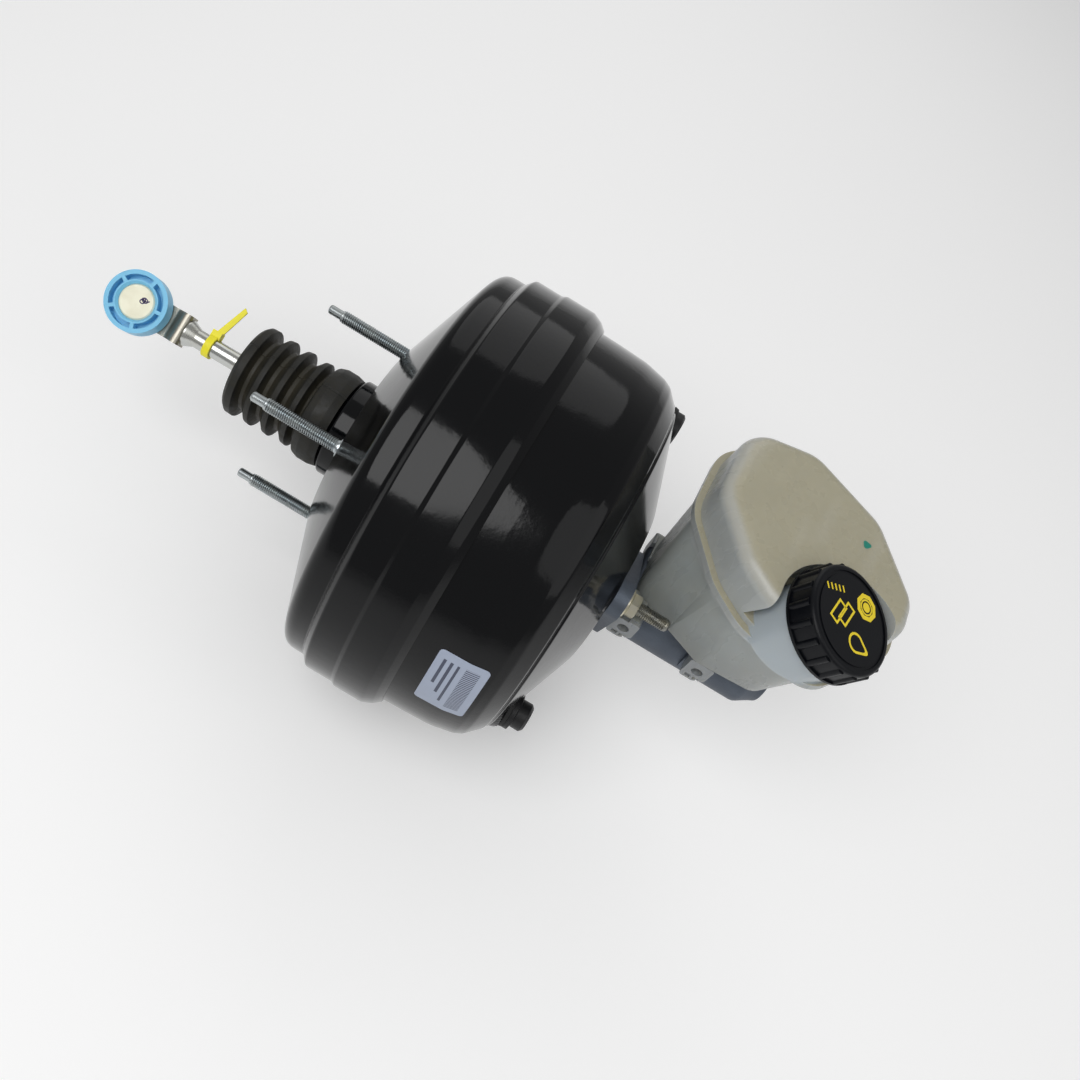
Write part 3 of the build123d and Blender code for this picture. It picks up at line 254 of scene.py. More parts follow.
class Finish:
    """One material with a Principled shader, and one method that adds any other node."""

    def __init__(self, name, color, roughness, metallic=0.0, **constants):
        self.material = bpy.data.materials.new(name)
        self.material.use_nodes = True
        self.tree = self.material.node_tree
        self.shader = self.tree.nodes["Principled BSDF"]
        self.shader.inputs["Base Color"].default_value = (*color, 1.0)
        self.shader.inputs["Roughness"].default_value = roughness
        self.shader.inputs["Metallic"].default_value = metallic
        for socket, value in constants.items():
            self.shader.inputs[socket.replace("_", " ")].default_value = value
        self.material.diffuse_color = (*color, 1.0)

    def node(self, kind, settings=None, sockets=None, output=0):
        """Add a node: its settings first, then the values or links of its sockets."""
        added = self.tree.nodes.new(kind)
        for key, value in (settings or {}).items():
            if key == "stops":
                ramp = added.color_ramp
                while len(ramp.elements) < len(value):
                    ramp.elements.new(1.0)
                for element, (place, color) in zip(ramp.elements, value):
                    element.position = place
                    element.color = (*color, 1.0)
            else:
                setattr(added, key, value)
        for key, value in (sockets or {}).items():
            if isinstance(value, Wire):
                self.tree.links.new(value.socket, added.inputs[key])
            else:
                added.inputs[key].default_value = value
        return Wire(self, added.outputs[output])

    def feed(self, socket, wire):
        """Link a wire to a socket of the Principled shader."""
        self.tree.links.new(wire.socket, self.shader.inputs[socket])

    def place(self, scale=(1.0, 1.0, 1.0)):
        """Position on the piece in metres, stretched by a scale."""
        coordinates = self.node("ShaderNodeTexCoord", output="Object")
        return self.node("ShaderNodeMapping", {}, {0: coordinates, 3: scale})

    def noise(self, size, detail=3.0, scale=(1.0, 1.0, 1.0), rough=0.5):
        """Noise whose grains are about size metres across."""
        return self.node(
            "ShaderNodeTexNoise", {}, {"Vector": self.place(scale), "Scale": 1.0 / size, "Detail": detail,
                                       "Roughness": rough}, "Fac")

    def ramp(self, wire, start, end, low=0.0, high=1.0):
        """Map a wire from start..end to low..high, held at both ends."""
        return self.node(
            "ShaderNodeMapRange", {"clamp": True},
            {"Value": wire, "From Min": start, "From Max": end, "To Min": low, "To Max": high})

    def mix(self, factor, first, second):
        """Colour that goes from first to second."""
        return self.node(
            "ShaderNodeMix", {"data_type": "RGBA"},
            {0: factor, 6: opaque(first), 7: opaque(second)}, 2)

    def patches(self, size, detail, start, end, **more):
        """Patches of noise: 0 below start and 1 above end."""
        return self.ramp(self.noise(size, detail, **more), start, end)

    def part(self, vector, letter):
        """One coordinate of a vector."""
        return self.node("ShaderNodeSeparateXYZ", {}, {0: vector}, letter)

    def near_axis(self, foot, direction, far, near):
        """1 closer to a line than near, 0 further than far, in metres."""
        from_foot = self.place() - foot
        across = self.node(
            "ShaderNodeVectorMath", {"operation": "CROSS_PRODUCT"}, {0: from_foot, 1: direction})
        reach = self.node("ShaderNodeVectorMath", {"operation": "LENGTH"}, {0: across}, "Value")
        return self.ramp(reach, far, near)

    def bump(self, height, strength=0.3, distance=0.0005):
        """Raise the surface by a height wire."""
        raised = self.node(
            "ShaderNodeBump", {}, {"Strength": strength, "Distance": distance, "Height": height}, "Normal")
        self.feed("Normal", raised)


def tint(color, share):
    """A colour made darker or lighter by a share."""
    return tuple(min(c * share, 1.0) for c in color)


def enamel_finish(color):
    """Gloss black stoving enamel with a soft orange peel, fine dust and a few dull patches."""
    f = Finish("black enamel", color, 0.12, 0.0, Specular_IOR_Level=0.24)
    dust = f.patches(0.0011, 2.0, 0.66, 0.80)
    cloud = f.patches(0.045, 4.0, 0.35, 0.75)
    f.feed("Base Color", f.mix(dust * cloud * 0.12, color, (0.05, 0.045, 0.04)))
    f.feed("Roughness", 0.08 + cloud * 0.08 + dust * 0.10)
    f.bump(f.noise(0.004, 2.0) + f.noise(0.03, 1.0) * 3.0, 0.10, 0.0004)
    return f.material


def boot_finish(color):
    """Matte rubber, dusty in its folds, with a fine moulded grain."""
    f = Finish("boot rubber", color, 0.6, 0.0, Specular_IOR_Level=0.4)
    dust = f.patches(0.006, 5.0, 0.42, 0.72, rough=0.7)
    fold = f.near_axis((0.0, 0.0, 0.0), (1.0, 0.0, 0.0), 0.0268, 0.0235)
    f.feed("Base Color", f.mix(dust * 0.4 + fold * 0.5, color, (0.040, 0.035, 0.021)))
    f.feed("Roughness", 0.50 + dust * 0.22)
    f.bump(f.noise(0.0008, 3.0) + f.noise(0.005, 2.0), 0.35, 0.0003)
    return f.material


def plated_finish(name, color, roughness=0.30, yellow=0.35, metal=0.95):
    """Zinc-plated steel with a faint yellow passivation and rubbed patches."""
    f = Finish(name, color, roughness, metal)
    stain = f.patches(0.006, 4.0, 0.40, 0.70)
    f.feed("Base Color", f.mix(stain * yellow, color, (0.62, 0.55, 0.34)))
    f.feed("Roughness", roughness + stain * 0.12)
    f.bump(f.noise(0.0006, 2.0), 0.15, 0.0001)
    return f.material


def rod_finish():
    """Bright drawn steel, with fine lines along the rod."""
    color = (0.55, 0.56, 0.54)
    f = Finish("bright rod", color, 0.18, 1.0)
    lines = f.noise(0.0005, 3.0, (0.02, 1.0, 1.0))
    patch = f.patches(0.012, 3.0, 0.45, 0.75)
    f.feed("Base Color", f.mix(patch * 0.5, color, (0.52, 0.50, 0.42)))
    f.feed("Roughness", 0.12 + lines * 0.14 + patch * 0.10)
    f.bump(lines, 0.10, 0.0001)
    return f.material


def strap_finish():
    """Warm plated strip steel, rolled along the strap, with darker creases."""
    color = (0.37, 0.355, 0.30)
    f = Finish("strap steel", color, 0.32, 0.85)
    rolled = f.noise(0.0012, 4.0, (0.08, 1.0, 1.0))
    spots = f.patches(0.0016, 3.0, 0.60, 0.78)
    plain = f.mix(rolled * 0.5, color, (0.50, 0.47, 0.41))
    f.feed("Base Color", f.mix(spots * 0.5, plain, (0.26, 0.22, 0.16)))
    f.feed("Roughness", 0.26 + rolled * 0.20)
    f.bump(rolled, 0.15, 0.0001)
    return f.material


def milky_finish(milk, shade, scatter):
    """Translucent tank plastic with painted light: painted shade darker towards the bottom and warm on faces
    turned to +Y, side walls cooler than the warm top by which way they face, a painted highlight on the
    shoulder and paler painted reflected streaks on the top; a paler band at the seam, a cool neck and grey
    lugs.
    """
    f = Finish(
        "milky plastic", milk, 0.34, 0.0, Subsurface_Weight=scatter, Subsurface_Radius=(0.9, 0.8, 0.6),
        Subsurface_Scale=0.006, Specular_IOR_Level=0.45)
    z = f.part(f.place(), "Z")
    normals = f.node("ShaderNodeTexCoord", output="Normal")
    rise = f.part(normals, "Z")
    left = f.part(normals, "Y")
    # Painted shade: the wall below the seam turns darker towards the bottom.
    shaded = f.ramp(z, 0.075, 0.030)
    lug = f.ramp(z, LUG_TOP_Z, LUG_TOP_Z - 0.0013)
    cloud = f.patches(0.03, 4.0, 0.30, 0.75)
    streak = f.noise(0.010, 3.0, (1.0, 1.0, 0.25))
    # Painted reflection: faint pale streaks across the top, stretched along one direction.
    painted_streaks = f.patches(0.020, 1.5, 0.56, 0.70, scale=(1.0, 0.22, 1.0))
    lower = f.mix(shaded, tint(shade, 1.28), tint(shade, 0.78))
    lower = f.mix(cloud * 0.4, lower, (0.30, 0.29, 0.235))
    # Painted shade: faces turned to +Y take a warm, darker tone.
    lower = f.mix(f.ramp(left, -0.1, 0.9, 0.0, 0.7), lower, (0.25, 0.22, 0.135))
    # Painted light: the side walls take a cooler tone than the warm top, chosen by which way each face
    # points.
    side = f.mix(cloud * 0.4, (0.42, 0.44, 0.43), (0.34, 0.36, 0.35))
    top = f.mix(cloud * 0.5, milk, tint(milk, 0.86))
    top = f.mix(painted_streaks * 0.30, top, (0.50, 0.49, 0.43))
    # Painted highlight: a pale band along the rounded shoulder.
    shoulder = f.ramp(rise, 0.15, 0.55) * f.ramp(rise, 0.80, 0.97, 1.0, 0.0)
    upper = f.mix(f.ramp(rise, 0.35, 0.9), side, top)
    upper = f.mix(shoulder * 0.8, upper, (0.47, 0.47, 0.43))
    plain = f.mix(f.ramp(z, SEAM_Z - 0.0005, SEAM_Z + 0.0005), lower, upper)
    seam = f.ramp(z, SEAM_Z - 0.0042, SEAM_Z - 0.0034)
    seam = seam * f.ramp(z, SEAM_Z + 0.0008, SEAM_Z + 0.0018, 1.0, 0.0)
    plain = f.mix(seam * 0.6, plain, (0.43, 0.45, 0.44))
    plain = f.mix(lug, plain, (0.27, 0.285, 0.295))
    neck = f.near_axis(NECK_FOOT, NECK_UP, NECK_R + 0.0005, NECK_R - 0.0005)
    neck = neck * f.ramp(z, SEAM_Z - 0.005, SEAM_Z + 0.007)
    f.feed("Base Color", f.mix(neck, plain, (0.43, 0.48, 0.51)))
    f.feed("Roughness", 0.20 + streak * 0.16 - neck * 0.10)
    f.bump(f.noise(0.0009, 2.0) + f.noise(0.008, 2.0) * 2.0, 0.10, 0.0003)
    return f.material


def cast_finish():
    """Die-cast aluminium: blue grey, grainy, with a dark stain where the melt ran."""
    color = (0.11, 0.13, 0.16)
    f = Finish("cast aluminium", color, 0.50, 0.75)
    stain = f.patches(0.02, 5.0, 0.35, 0.70)
    grain = f.noise(0.0010, 3.0)
    f.feed("Base Color", f.mix(stain * 0.6, color, (0.075, 0.085, 0.105)))
    f.feed("Roughness", 0.42 + grain * 0.20)
    f.bump(grain + f.noise(0.006, 2.0), 0.45, 0.0003)
    return f.material


def machined_finish(name, color, roughness=0.25):
    """Turned light metal with fine rings."""
    f = Finish(name, color, roughness, 0.95)
    rings = f.noise(0.0006, 2.0, (1.0, 0.05, 0.05))
    f.feed("Base Color", f.mix(rings * 0.4, color, tint(color, 0.7)))
    f.feed("Roughness", roughness + rings * 0.15)
    f.bump(rings, 0.10, 0.0001)
    return f.material


def moulded_finish(name, color, roughness=0.42, grain=0.0009, dust=0.3, gloss=0.35):
    """Moulded plastic or rubber: fine grain, slightly uneven gloss and a little dust."""
    f = Finish(name, color, roughness, 0.0, Specular_IOR_Level=gloss)
    cloud = f.patches(0.012, 4.0, 0.35, 0.75)
    fine = f.noise(grain, 3.0)
    f.feed("Base Color", f.mix(cloud * dust, color, tuple(c * 0.8 + 0.012 for c in color)))
    f.feed("Roughness", roughness - 0.06 + fine * 0.10 + cloud * 0.06)
    f.bump(fine, 0.22, 0.0002)
    return f.material


def foam_finish():
    """Open foam of the air filter."""
    f = Finish("filter foam", (0.05, 0.05, 0.05), 0.9)
    cells = f.node("ShaderNodeTexVoronoi", {}, {"Vector": f.place(), "Scale": 900.0}, "Distance")
    f.feed("Base Color", f.mix(cells, (0.02, 0.02, 0.02), (0.09, 0.09, 0.09)))
    f.feed("Roughness", 0.8 + cells * 0.2)
    f.bump(cells, 0.8, 0.0006)
    return f.material


def ink_finish(name, color):
    """Printed ink, a little worn."""
    f = Finish(name, color, 0.45)
    wear = f.patches(0.0012, 4.0, 0.58, 0.74)
    f.feed("Base Color", f.mix(wear * 0.35, color, tint(color, 0.55)))
    f.feed("Roughness", 0.40 + wear * 0.2)
    f.bump(f.noise(0.0005, 2.0), 0.15, 0.0001)
    return f.material


def label_finish():
    """Pale printed label with plain even bars and nothing to read."""
    paper = (0.36, 0.41, 0.52)
    dark = (0.05, 0.06, 0.10)
    f = Finish("label paper", paper, 0.38)
    uv = f.node("ShaderNodeTexCoord", output="UV")
    u = f.part(uv, "X")
    v = f.part(uv, "Y")

    def between(wire, low, high):
        above = f.node("ShaderNodeMath", {"operation": "GREATER_THAN"}, {0: wire, 1: low})
        below = f.node("ShaderNodeMath", {"operation": "LESS_THAN"}, {0: wire, 1: high})
        return above * below

    phase = f.node("ShaderNodeMath", {"operation": "FRACT"}, {0: v * 34.0})
    bars = between(phase, 0.0, 0.5) * between(u, 0.58, 0.86) * between(v, 0.10, 0.90)
    lines = between(u, 0.14, 0.20) * between(v, 0.12, 0.56) + between(u, 0.28, 0.34) * between(v, 0.12, 0.70)
    lines = lines + between(u, 0.42, 0.47) * between(v, 0.12, 0.84)
    smudge = f.patches(0.004, 4.0, 0.45, 0.8)
    f.feed("Base Color", f.mix(bars + lines, f.mix(smudge * 0.3, paper, (0.36, 0.40, 0.48)), dark))
    f.feed("Roughness", 0.30 + smudge * 0.2)
    f.bump(f.noise(0.003, 2.0), 0.10, 0.0002)
    return f.material


# Mesh building


def to_metres(points):
    """Points in millimetres as vectors in metres."""
    return [Vector(p) * MM for p in points]


def rounded(path, corners, arc_step):
    """Open outline in metres of a path in millimetres, with an arc of a given radius at each corner."""
    points = to_metres(path)
    out = [points[0]]
    for before, corner, after, radius in zip(points, points[1:], points[2:], corners[1:]):
        into = (corner - before).normalized()
        away = (after - corner).normalized()
        turn = into.angle(away, 0.0)
        if radius <= 0 or turn < 1e-4:
            out.append(corner)
            continue
        reach = radius * MM * math.tan(turn / 2)
        reach = min(reach, (corner - before).length * 0.49, (after - corner).length * 0.49)
        start = corner - into * reach
        end = corner + away * reach
        count = max(2, int(math.ceil(turn / arc_step)))
        for k in range(count + 1):
            t = k / count
            out.append((1 - t) ** 2 * start + 2 * t * (1 - t) * corner + t ** 2 * end)
    out.append(points[-1])
    return out


def thickened(outer, wall):
    """Closed loop of an outline and the same outline moved to its right by the wall."""
    inner = []
    last = len(outer) - 1
    for i, point in enumerate(outer):
        before = (outer[max(i, 1)] - outer[max(i, 1) - 1]).normalized()
        after = (outer[min(i + 1, last)] - outer[min(i + 1, last) - 1]).normalized()
        rights = [Vector((h.y, -h.x)) for h in (before, after)]
        inner.append(point + (rights[0] + rights[1]) * (wall / (1 + rights[0].dot(rights[1]))))
    return list(outer) + inner[::-1]


def finer(loop, longest):
    """The same closed loop with no edge longer than the given length."""
    out = []
    for a, b in zip(loop, loop[1:] + loop[:1]):
        count = max(1, int(math.ceil((b - a).length / longest)))
        out += [a + (b - a) * (k / count) for k in range(count)]
    return out


def new_piece(name, verts, faces, body, material, replaces=(), sharp=35.0):
    """Mesh object that rides on a body, with smooth faces and sharp edges past an angle."""
    mesh = bpy.data.meshes.new(name)
    mesh.from_pydata([tuple(v) for v in verts], [], faces)
    mesh.validate()
    bm = bmesh.new()
    bm.from_mesh(mesh)
    bmesh.ops.remove_doubles(bm, verts=bm.verts, dist=1e-7)
    bmesh.ops.recalc_face_normals(bm, faces=bm.faces)
    bm.to_mesh(mesh)
    bm.free()
    return attach(name, mesh, body, material, replaces, sharp)


def attach(name, mesh, body, material, replaces, sharp):
    """Object of a mesh, with its finish, body, slot and the CAD nodes that it is shown for."""
    piece = bpy.data.objects.new(name, mesh)
    bpy.context.scene.collection.objects.link(piece)
    soften(piece, sharp)
    mesh.materials.append(material)
    if body:
        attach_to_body(piece, body)
    if replaces:
        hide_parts(*replaces)
    return piece


def soften(piece, sharp):
    """Smooth shading with sharp edges past an angle in degrees."""
    piece.data.shade_smooth()
    piece.data.set_sharp_from_angle(angle=math.radians(sharp))


def dress(nodes, material, sharp=30.0):
    """Give CAD nodes a finish and smooth shading."""
    for name in nodes:
        node = frame["nodes"][name]
        node.data.materials.clear()
        node.data.materials.append(material)
        soften(node, sharp)


def travel(joint):
    """How far a joint goes, in metres."""
    return next(j for j in frame["joints"] if j["name"] == joint)["range_m"][1]


def grid(rows, columns, first=0, rows_close=False, columns_close=True):
    """Faces between rows of points, where the rows or the columns can close on themselves."""
    faces = []
    for i in range(rows if rows_close else rows - 1):
        a = first + i * columns
        b = first + (i + 1) % rows * columns
        for k in range(columns if columns_close else columns - 1):
            n = (k + 1) % columns
            faces.append((a + k, a + n, b + n, b + k))
    return faces


def shorten(piece, node, joint, less=0.0):
    """Give a piece its own mesh, and work out the share of a CAD node's length left by a joint's travel, less
    what its front end moves; the piece is not shortened.
    """
    low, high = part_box(node)
    length = high.x - low.x
    keep = (length - travel(joint) + less) / length
    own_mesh(piece)


def around(x, radius, angle):
    """Point at a radius and an angle about the X axis."""
    return Vector((x, radius * math.cos(angle), radius * math.sin(angle)))


def lathe(loop, steps):
    """Vertices and faces of a closed (x, radius) loop turned about the X axis."""
    turns = [2 * math.pi * k / steps for k in range(steps)]
    verts = [around(p.x, p.y, turn) for turn in turns for p in loop]
    return verts, grid(steps, len(loop), rows_close=True)


# Pressed shells


def rear_outline():
    """Outer side of the rear shell in millimetres, with the radius of each corner."""
    path = [
        (-26.0, 26.0), (-16.0, 26.0), (-14.4, 30.5), (0.0, 30.5), (0.0, 61.5), (24.4, 123.8), (37.3, 124.0),
        (41.6, 129.0), (58.0, 129.0), (60.5, 130.4), (78.2, 130.4), (84.0, 127.9), (88.0, 124.6)]
    corners = [0, 0.6, 1.8, 1.0, 3.0, 9.0, 1.2, 2.2, 2.2, 2.0, 3.0, 3.0, 0]
    return path, corners


def front_outline():
    """Outer side of the front shell in millimetres, with the radius of each corner."""
    path = [
        (82.6, 126.1), (82.6, 123.1), *DRUM_STATIONS, (136.4, 117.0), (144.2, 109.2), (145.4, 106.5),
        (146.6, 106.1), (FLANGE_X, 52.0), (FLANGE_X, 23.0)]
    corners = [0, 0.4, 30.0, 30.0, 6.0, 6.0, 1.0, 1.0, 1.5, 4.0, 0]
    return path, corners


def smooth_step(value):
    """Smooth curve from 0 to 1."""
    t = min(max(value, 0.0), 1.0)
    return t * t * (3 - 2 * t)


def press_seats(verts, cone_x, wall, seats, blend):
    """Move the wall to each flat seat, with a soft edge round it."""
    for v in verts:
        if v.x < CONE_START_X * MM:
            continue
        outer = cone_x(math.hypot(v.y, v.z))
        if outer - v.x > wall * 3.5:
            continue
        for y, z, seat_r, flat_x in seats:
            share = 1 - smooth_step((math.hypot(v.y - y, v.z - z) - seat_r) / blend)
            if share > 0:
                v.x += (flat_x - outer) * share


class BOOSTER_OT_shells(bpy.types.Operator):
    """Build the rear and front vacuum shells."""

    bl_idname = "booster.shells"
    bl_label = "Shells"

    def execute(self, context):
        sizes = context.scene.booster_shell
        enamel = enamel_finish(sizes.enamel)
        outer = rounded(*rear_outline(), math.radians(6))
        verts, faces = lathe(thickened(outer, sizes.wall), sizes.steps)
        new_piece("rear_shell_skin", verts, faces, "housing", enamel, ["rear_shell"], 40)

        outer = rounded(*front_outline(), math.radians(6))
        verts, faces = lathe(finer(thickened(outer, sizes.wall), 1.6 * MM), sizes.steps)
        start = CONE_START_X * MM

        def cone_x(radius):
            """Front of the shell at a radius."""
            for a, b in zip(outer, outer[1:]):
                if min(a.y, b.y) <= radius <= max(a.y, b.y) and a.x > start:
                    t = (radius - a.y) / (b.y - a.y) if abs(b.y - a.y) > 1e-9 else 0.0
                    return a.x + (b.x - a.x) * t
            return start if radius > outer[-1].y else outer[-1].x

        seats = []
        for node, seat_r, flat_x in (("check_valve_grommet", 12.5, 153.0), ("plug_grommet", 11.0, 146.5)):
            low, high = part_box(node)
            seats.append(((low.y + high.y) / 2, (low.z + high.z) / 2, seat_r * MM, flat_x * MM))
        for side in (-1, 1):
            seats.append((side * FLANGE_STUD_Y * MM, -side * FLANGE_STUD_Z * MM, 11.5 * MM, FLANGE_X * MM))
        press_seats(verts, cone_x, sizes.wall, seats, sizes.seat_blend)
        new_piece("front_shell_skin", verts, faces, "housing", enamel, ["front_shell"], 40)
        return {"FINISHED"}


# Studs


def threaded_bar(start, end, sizes, taper=1.6 * MM, steps=28, per_pitch=6):
    """Thread between two planes in millimetres: a helical ridge that fades out at both ends."""
    x0, x1 = start * MM, end * MM
    rows = int((x1 - x0) / sizes.pitch * per_pitch)
    verts = []
    for i in range(rows + 1):
        x = x0 + (x1 - x0) * i / rows
        edge = min(1.0, min(x - x0, x1 - x) / taper)
        for k in range(steps):
            phase = (x / sizes.pitch - k / steps) % 1.0
            ridge = abs(2 * phase - 1)
            radius = sizes.radius - sizes.depth * (1 - edge) * 0.9 - sizes.depth * (1 - ridge) * edge
            verts.append(around(x, radius, 2 * math.pi * k / steps))
    faces = grid(rows + 1, steps)
    faces.append(tuple(range(steps))[::-1])
    faces.append(tuple(rows * steps + k for k in range(steps)))
    return verts, faces


def plain_bar(points, steps=32):
    """Bar turned from an open outline in millimetres that starts and ends on the axis."""
    verts = [Vector((points[0][0] * MM, 0, 0))]
    middle = points[1:-1]
    for x, r in to_metres(middle):
        verts += [around(x, r, 2 * math.pi * k / steps) for k in range(steps)]
    verts.append(Vector((points[-1][0] * MM, 0, 0)))
    faces = grid(len(middle), steps, first=1)
    last = len(verts) - 1
    for k in range(steps):
        n = (k + 1) % steps
        faces += [(0, 1 + n, 1 + k), (last - steps + k, last - steps + n, last)]
    return verts, faces


def joined(*shapes):
    """Several (verts, faces) shapes as one."""
    verts = []
    faces = []
    for more_verts, more_faces in shapes:
        shift = len(verts)
        verts += more_verts
        faces += [tuple(i + shift for i in face) for face in more_faces]
    return verts, faces


def moved(shape, offset):
    """A shape moved by an offset."""
    return [v + Vector(offset) for v in shape[0]], shape[1]


class BOOSTER_OT_studs(bpy.types.Operator):
    """Build the threaded studs at the bulkhead and at the master cylinder."""

    bl_idname = "booster.studs"
    bl_label = "Studs"

    def execute(self, context):
        sizes = context.scene.booster_stud
        zinc = plated_finish("stud zinc", sizes.zinc, 0.22, 0.10)
        low, high = [corner.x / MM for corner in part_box("bulkhead_studs")]
        pilot_r, pilot_end = 2.8, low + 8.0
        thread = threaded_bar(pilot_end + 0.6, -1.6, sizes)
        pilot = plain_bar([
            (low, 0), (low, pilot_r - 0.7), (low + 0.5, pilot_r - 0.15), (low + 1.0, pilot_r),
            (pilot_end, pilot_r), (pilot_end + 1.2, 3.2), (pilot_end + 1.2, 0)])
        shank = plain_bar([
            (-3.0, 0), (-3.0, 3.5), (-1.7, 4.0), (-1.2, 4.0), (-1.1, 5.3), (-0.9, 5.6), (-0.05, 5.6),
            (0.1, 4.4), (high - 4.1, 4.4), (high - 4.0, 7.4), (high - 0.8, 7.5), (high, 6.8), (high, 0)])
        stud = joined(thread, pilot, shank)
        y, z = STUD_Y * MM, STUD_Z * MM
        shapes = [moved(stud, (0, sy * y, sz * z)) for sy in (-1, 1) for sz in (-1, 1)]
        verts, faces = joined(*shapes)
        new_piece("bulkhead_stud_set", verts, faces, "housing", zinc, ["bulkhead_studs"], 50)

        low, high = [corner.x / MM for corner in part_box("master_cylinder_studs")]
        thread = threaded_bar(175.6, high - 1.0, sizes)
        tip = plain_bar([
            (high - 2.0, 0), (high - 2.0, 3.5), (high - 0.9, 3.3), (high, 2.5), (high, 0)])
        shank = plain_bar([
            (low, 0), (low, 6.9), (low + 3.5, 7.0), (low + 3.5, 4.0), (175.5, 4.0), (176.5, 3.4), (176.5, 0)])
        stud = joined(thread, tip, shank)
        y, z = FLANGE_STUD_Y * MM, FLANGE_STUD_Z * MM
        verts, faces = joined(*[moved(stud, (0, side * y, -side * z)) for side in (-1, 1)])
        dark = plated_finish("stud oiled", (0.26, 0.26, 0.24), 0.36, 0.25)
        new_piece(
            "cylinder_stud_set", verts, faces, "housing", dark, ["master_cylinder_studs"], 50)
        dress(["master_cylinder_nuts"], plated_finish("nut zinc", (0.60, 0.57, 0.46), 0.30, 0.5))
        return {"FINISHED"}


# Boot


def boot_loop(sizes):
    """Closed outline of the boot's rubber, in metres."""
    path = [
        (-81.5, 12.5), (-81.5, 19.0), (-79.3, 26.0), (-77.2, 28.0), (-73.0, 28.2), (-71.0, 22.2),
        (-68.9, VALLEY_R)]
    corners = [0.0, 1.6, 1.6, 0.8, 0.5, 0.6, 0.5]
    for fold in (1, 2, 3):
        x = -73.9 + sizes.pitch / MM * fold
        r = 28.0 - 0.2 * fold
        path += [(x - 4.3, r - 2.6), (x - 2.6, r - 0.5), (x + 0.6, r), (x + 2.7, 22.2), (x + 5.0, VALLEY_R)]
        corners += [0.6, 0.6, 0.5, 0.6, 0.5]
    path[-1] = (path[-1][0] - 1.0, VALLEY_R)
    path += [(-32.5, 28.2), (-28.0, 29.8), (-21.5, 29.8), (-16.6, 28.6)]
    corners += [2.0, 1.6, 2.0, 0.0]
    return thickened(rounded(path, corners, math.radians(14)), sizes.wall)


class BOOSTER_OT_boot(bpy.types.Operator):
    """Build the pleated rubber boot and its nose on the push rod."""

    bl_idname = "booster.boot"
    bl_label = "Boot"

    def execute(self, context):
        sizes = context.scene.booster_boot
        rubber = boot_finish(sizes.rubber)
        loop = finer(boot_loop(sizes), 1.5 * MM)
        steps = 288
        verts, faces = lathe(loop, steps)
        creases = (int(steps * 0.27), int(steps * 0.77))
        for i, v in enumerate(verts):
            radius = math.hypot(v.y, v.z)
            if radius > 12 * MM:
                sag = noise.noise(Vector((v.x * 30, v.y * 18, v.z * 18))) * 0.45 * MM
                if i // len(loop) in creases:
                    sag -= 0.55 * MM
                v.y += v.y / radius * sag
                v.z += v.z / radius * sag
        cuff = thickened(to_metres([(-23.0, 28.6), (-16.9, 28.2)]), 2.0 * MM)
        verts, faces = joined((verts, faces), lathe(cuff, 160))
        piece = new_piece("boot_skin", verts, faces, "housing", rubber, ["boot"], 40)
        nose = to_metres([(-78.5, ROD_R), (-78.5, 18.6), (-77.6, 18.6), (-77.6, ROD_R)])
        verts, faces = lathe(finer(nose, 2.0 * MM), 96)
        new_piece("boot_nose", verts, faces, "push_rod", rubber)
        shorten(piece, "boot", "power_slide")
        return {"FINISHED"}


# Push rod


def fan(count):
    """Triangles from a middle point to the points round it."""
    return [(0, 1 + k, 1 + (k + 1) % count) for k in range(count)]


def scribble(points, width):
    """Flat ribbon along a hand-drawn line of (u, v) points."""
    verts = []
    faces = []
    for i, point in enumerate(points):
        ahead = points[min(i + 1, len(points) - 1)] - points[max(i - 1, 0)]
        side = Vector((-ahead.y, ahead.x)).normalized() * width / 2
        verts += [point + side, point - side]
    for i in range(len(points) - 1):
        faces.append((2 * i, 2 * i + 1, 2 * i + 3, 2 * i + 2))
    return verts, faces


class BOOSTER_OT_push_rod(bpy.types.Operator):
    """Finish the push rod, the eye strap, the pin with its ink mark, the bush and the tie."""

    bl_idname = "booster.push_rod"
    bl_label = "Push rod"

    def execute(self, context):
        dress(["input_rod"], rod_finish())
        dress(["eye_strap"], strap_finish())
        dress(["pedal_pin"], plated_finish("pin steel", (0.88, 0.86, 0.69), 0.50, 0.15, 0.25))
        dress(["bush_ring"], moulded_finish("blue bush", (0.22, 0.60, 0.88), 0.36, 0.0008, 0.25))
        dress(["cable_tie"], moulded_finish("yellow tie", (0.95, 0.86, 0.03), 0.40, 0.0008, 0.1))
        normal = Vector((0, -math.sin(EYE_ROLL), math.cos(EYE_ROLL)))
        across = Vector((0, math.cos(EYE_ROLL), math.sin(EYE_ROLL)))
        low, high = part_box("pedal_pin")
        middle = Vector(((low.x + high.x) / 2, 0, 0)) + normal * (PIN_FACE * MM)
        line = []
        for k in range(46):
            turn = 0.42 * k
            reach = 1.5 + 0.35 * math.sin(1.7 * turn)
            u = 2.4 + 0.055 * k + reach * math.cos(turn)
            v = 1.6 + 0.05 * k + 0.8 * reach * math.sin(turn)
            line.append(Vector((u, v)) * MM)
        flat, faces = scribble(line, 0.7 * MM)
        verts = [middle + Vector((p.x, 0, 0)) + across * p.y for p in flat]
        ink = ink_finish("marker ink", (0.035, 0.015, 0.10))
        new_piece("pin_ink_mark", verts, faces, "push_rod", ink)
        return {"FINISHED"}


# Reservoir


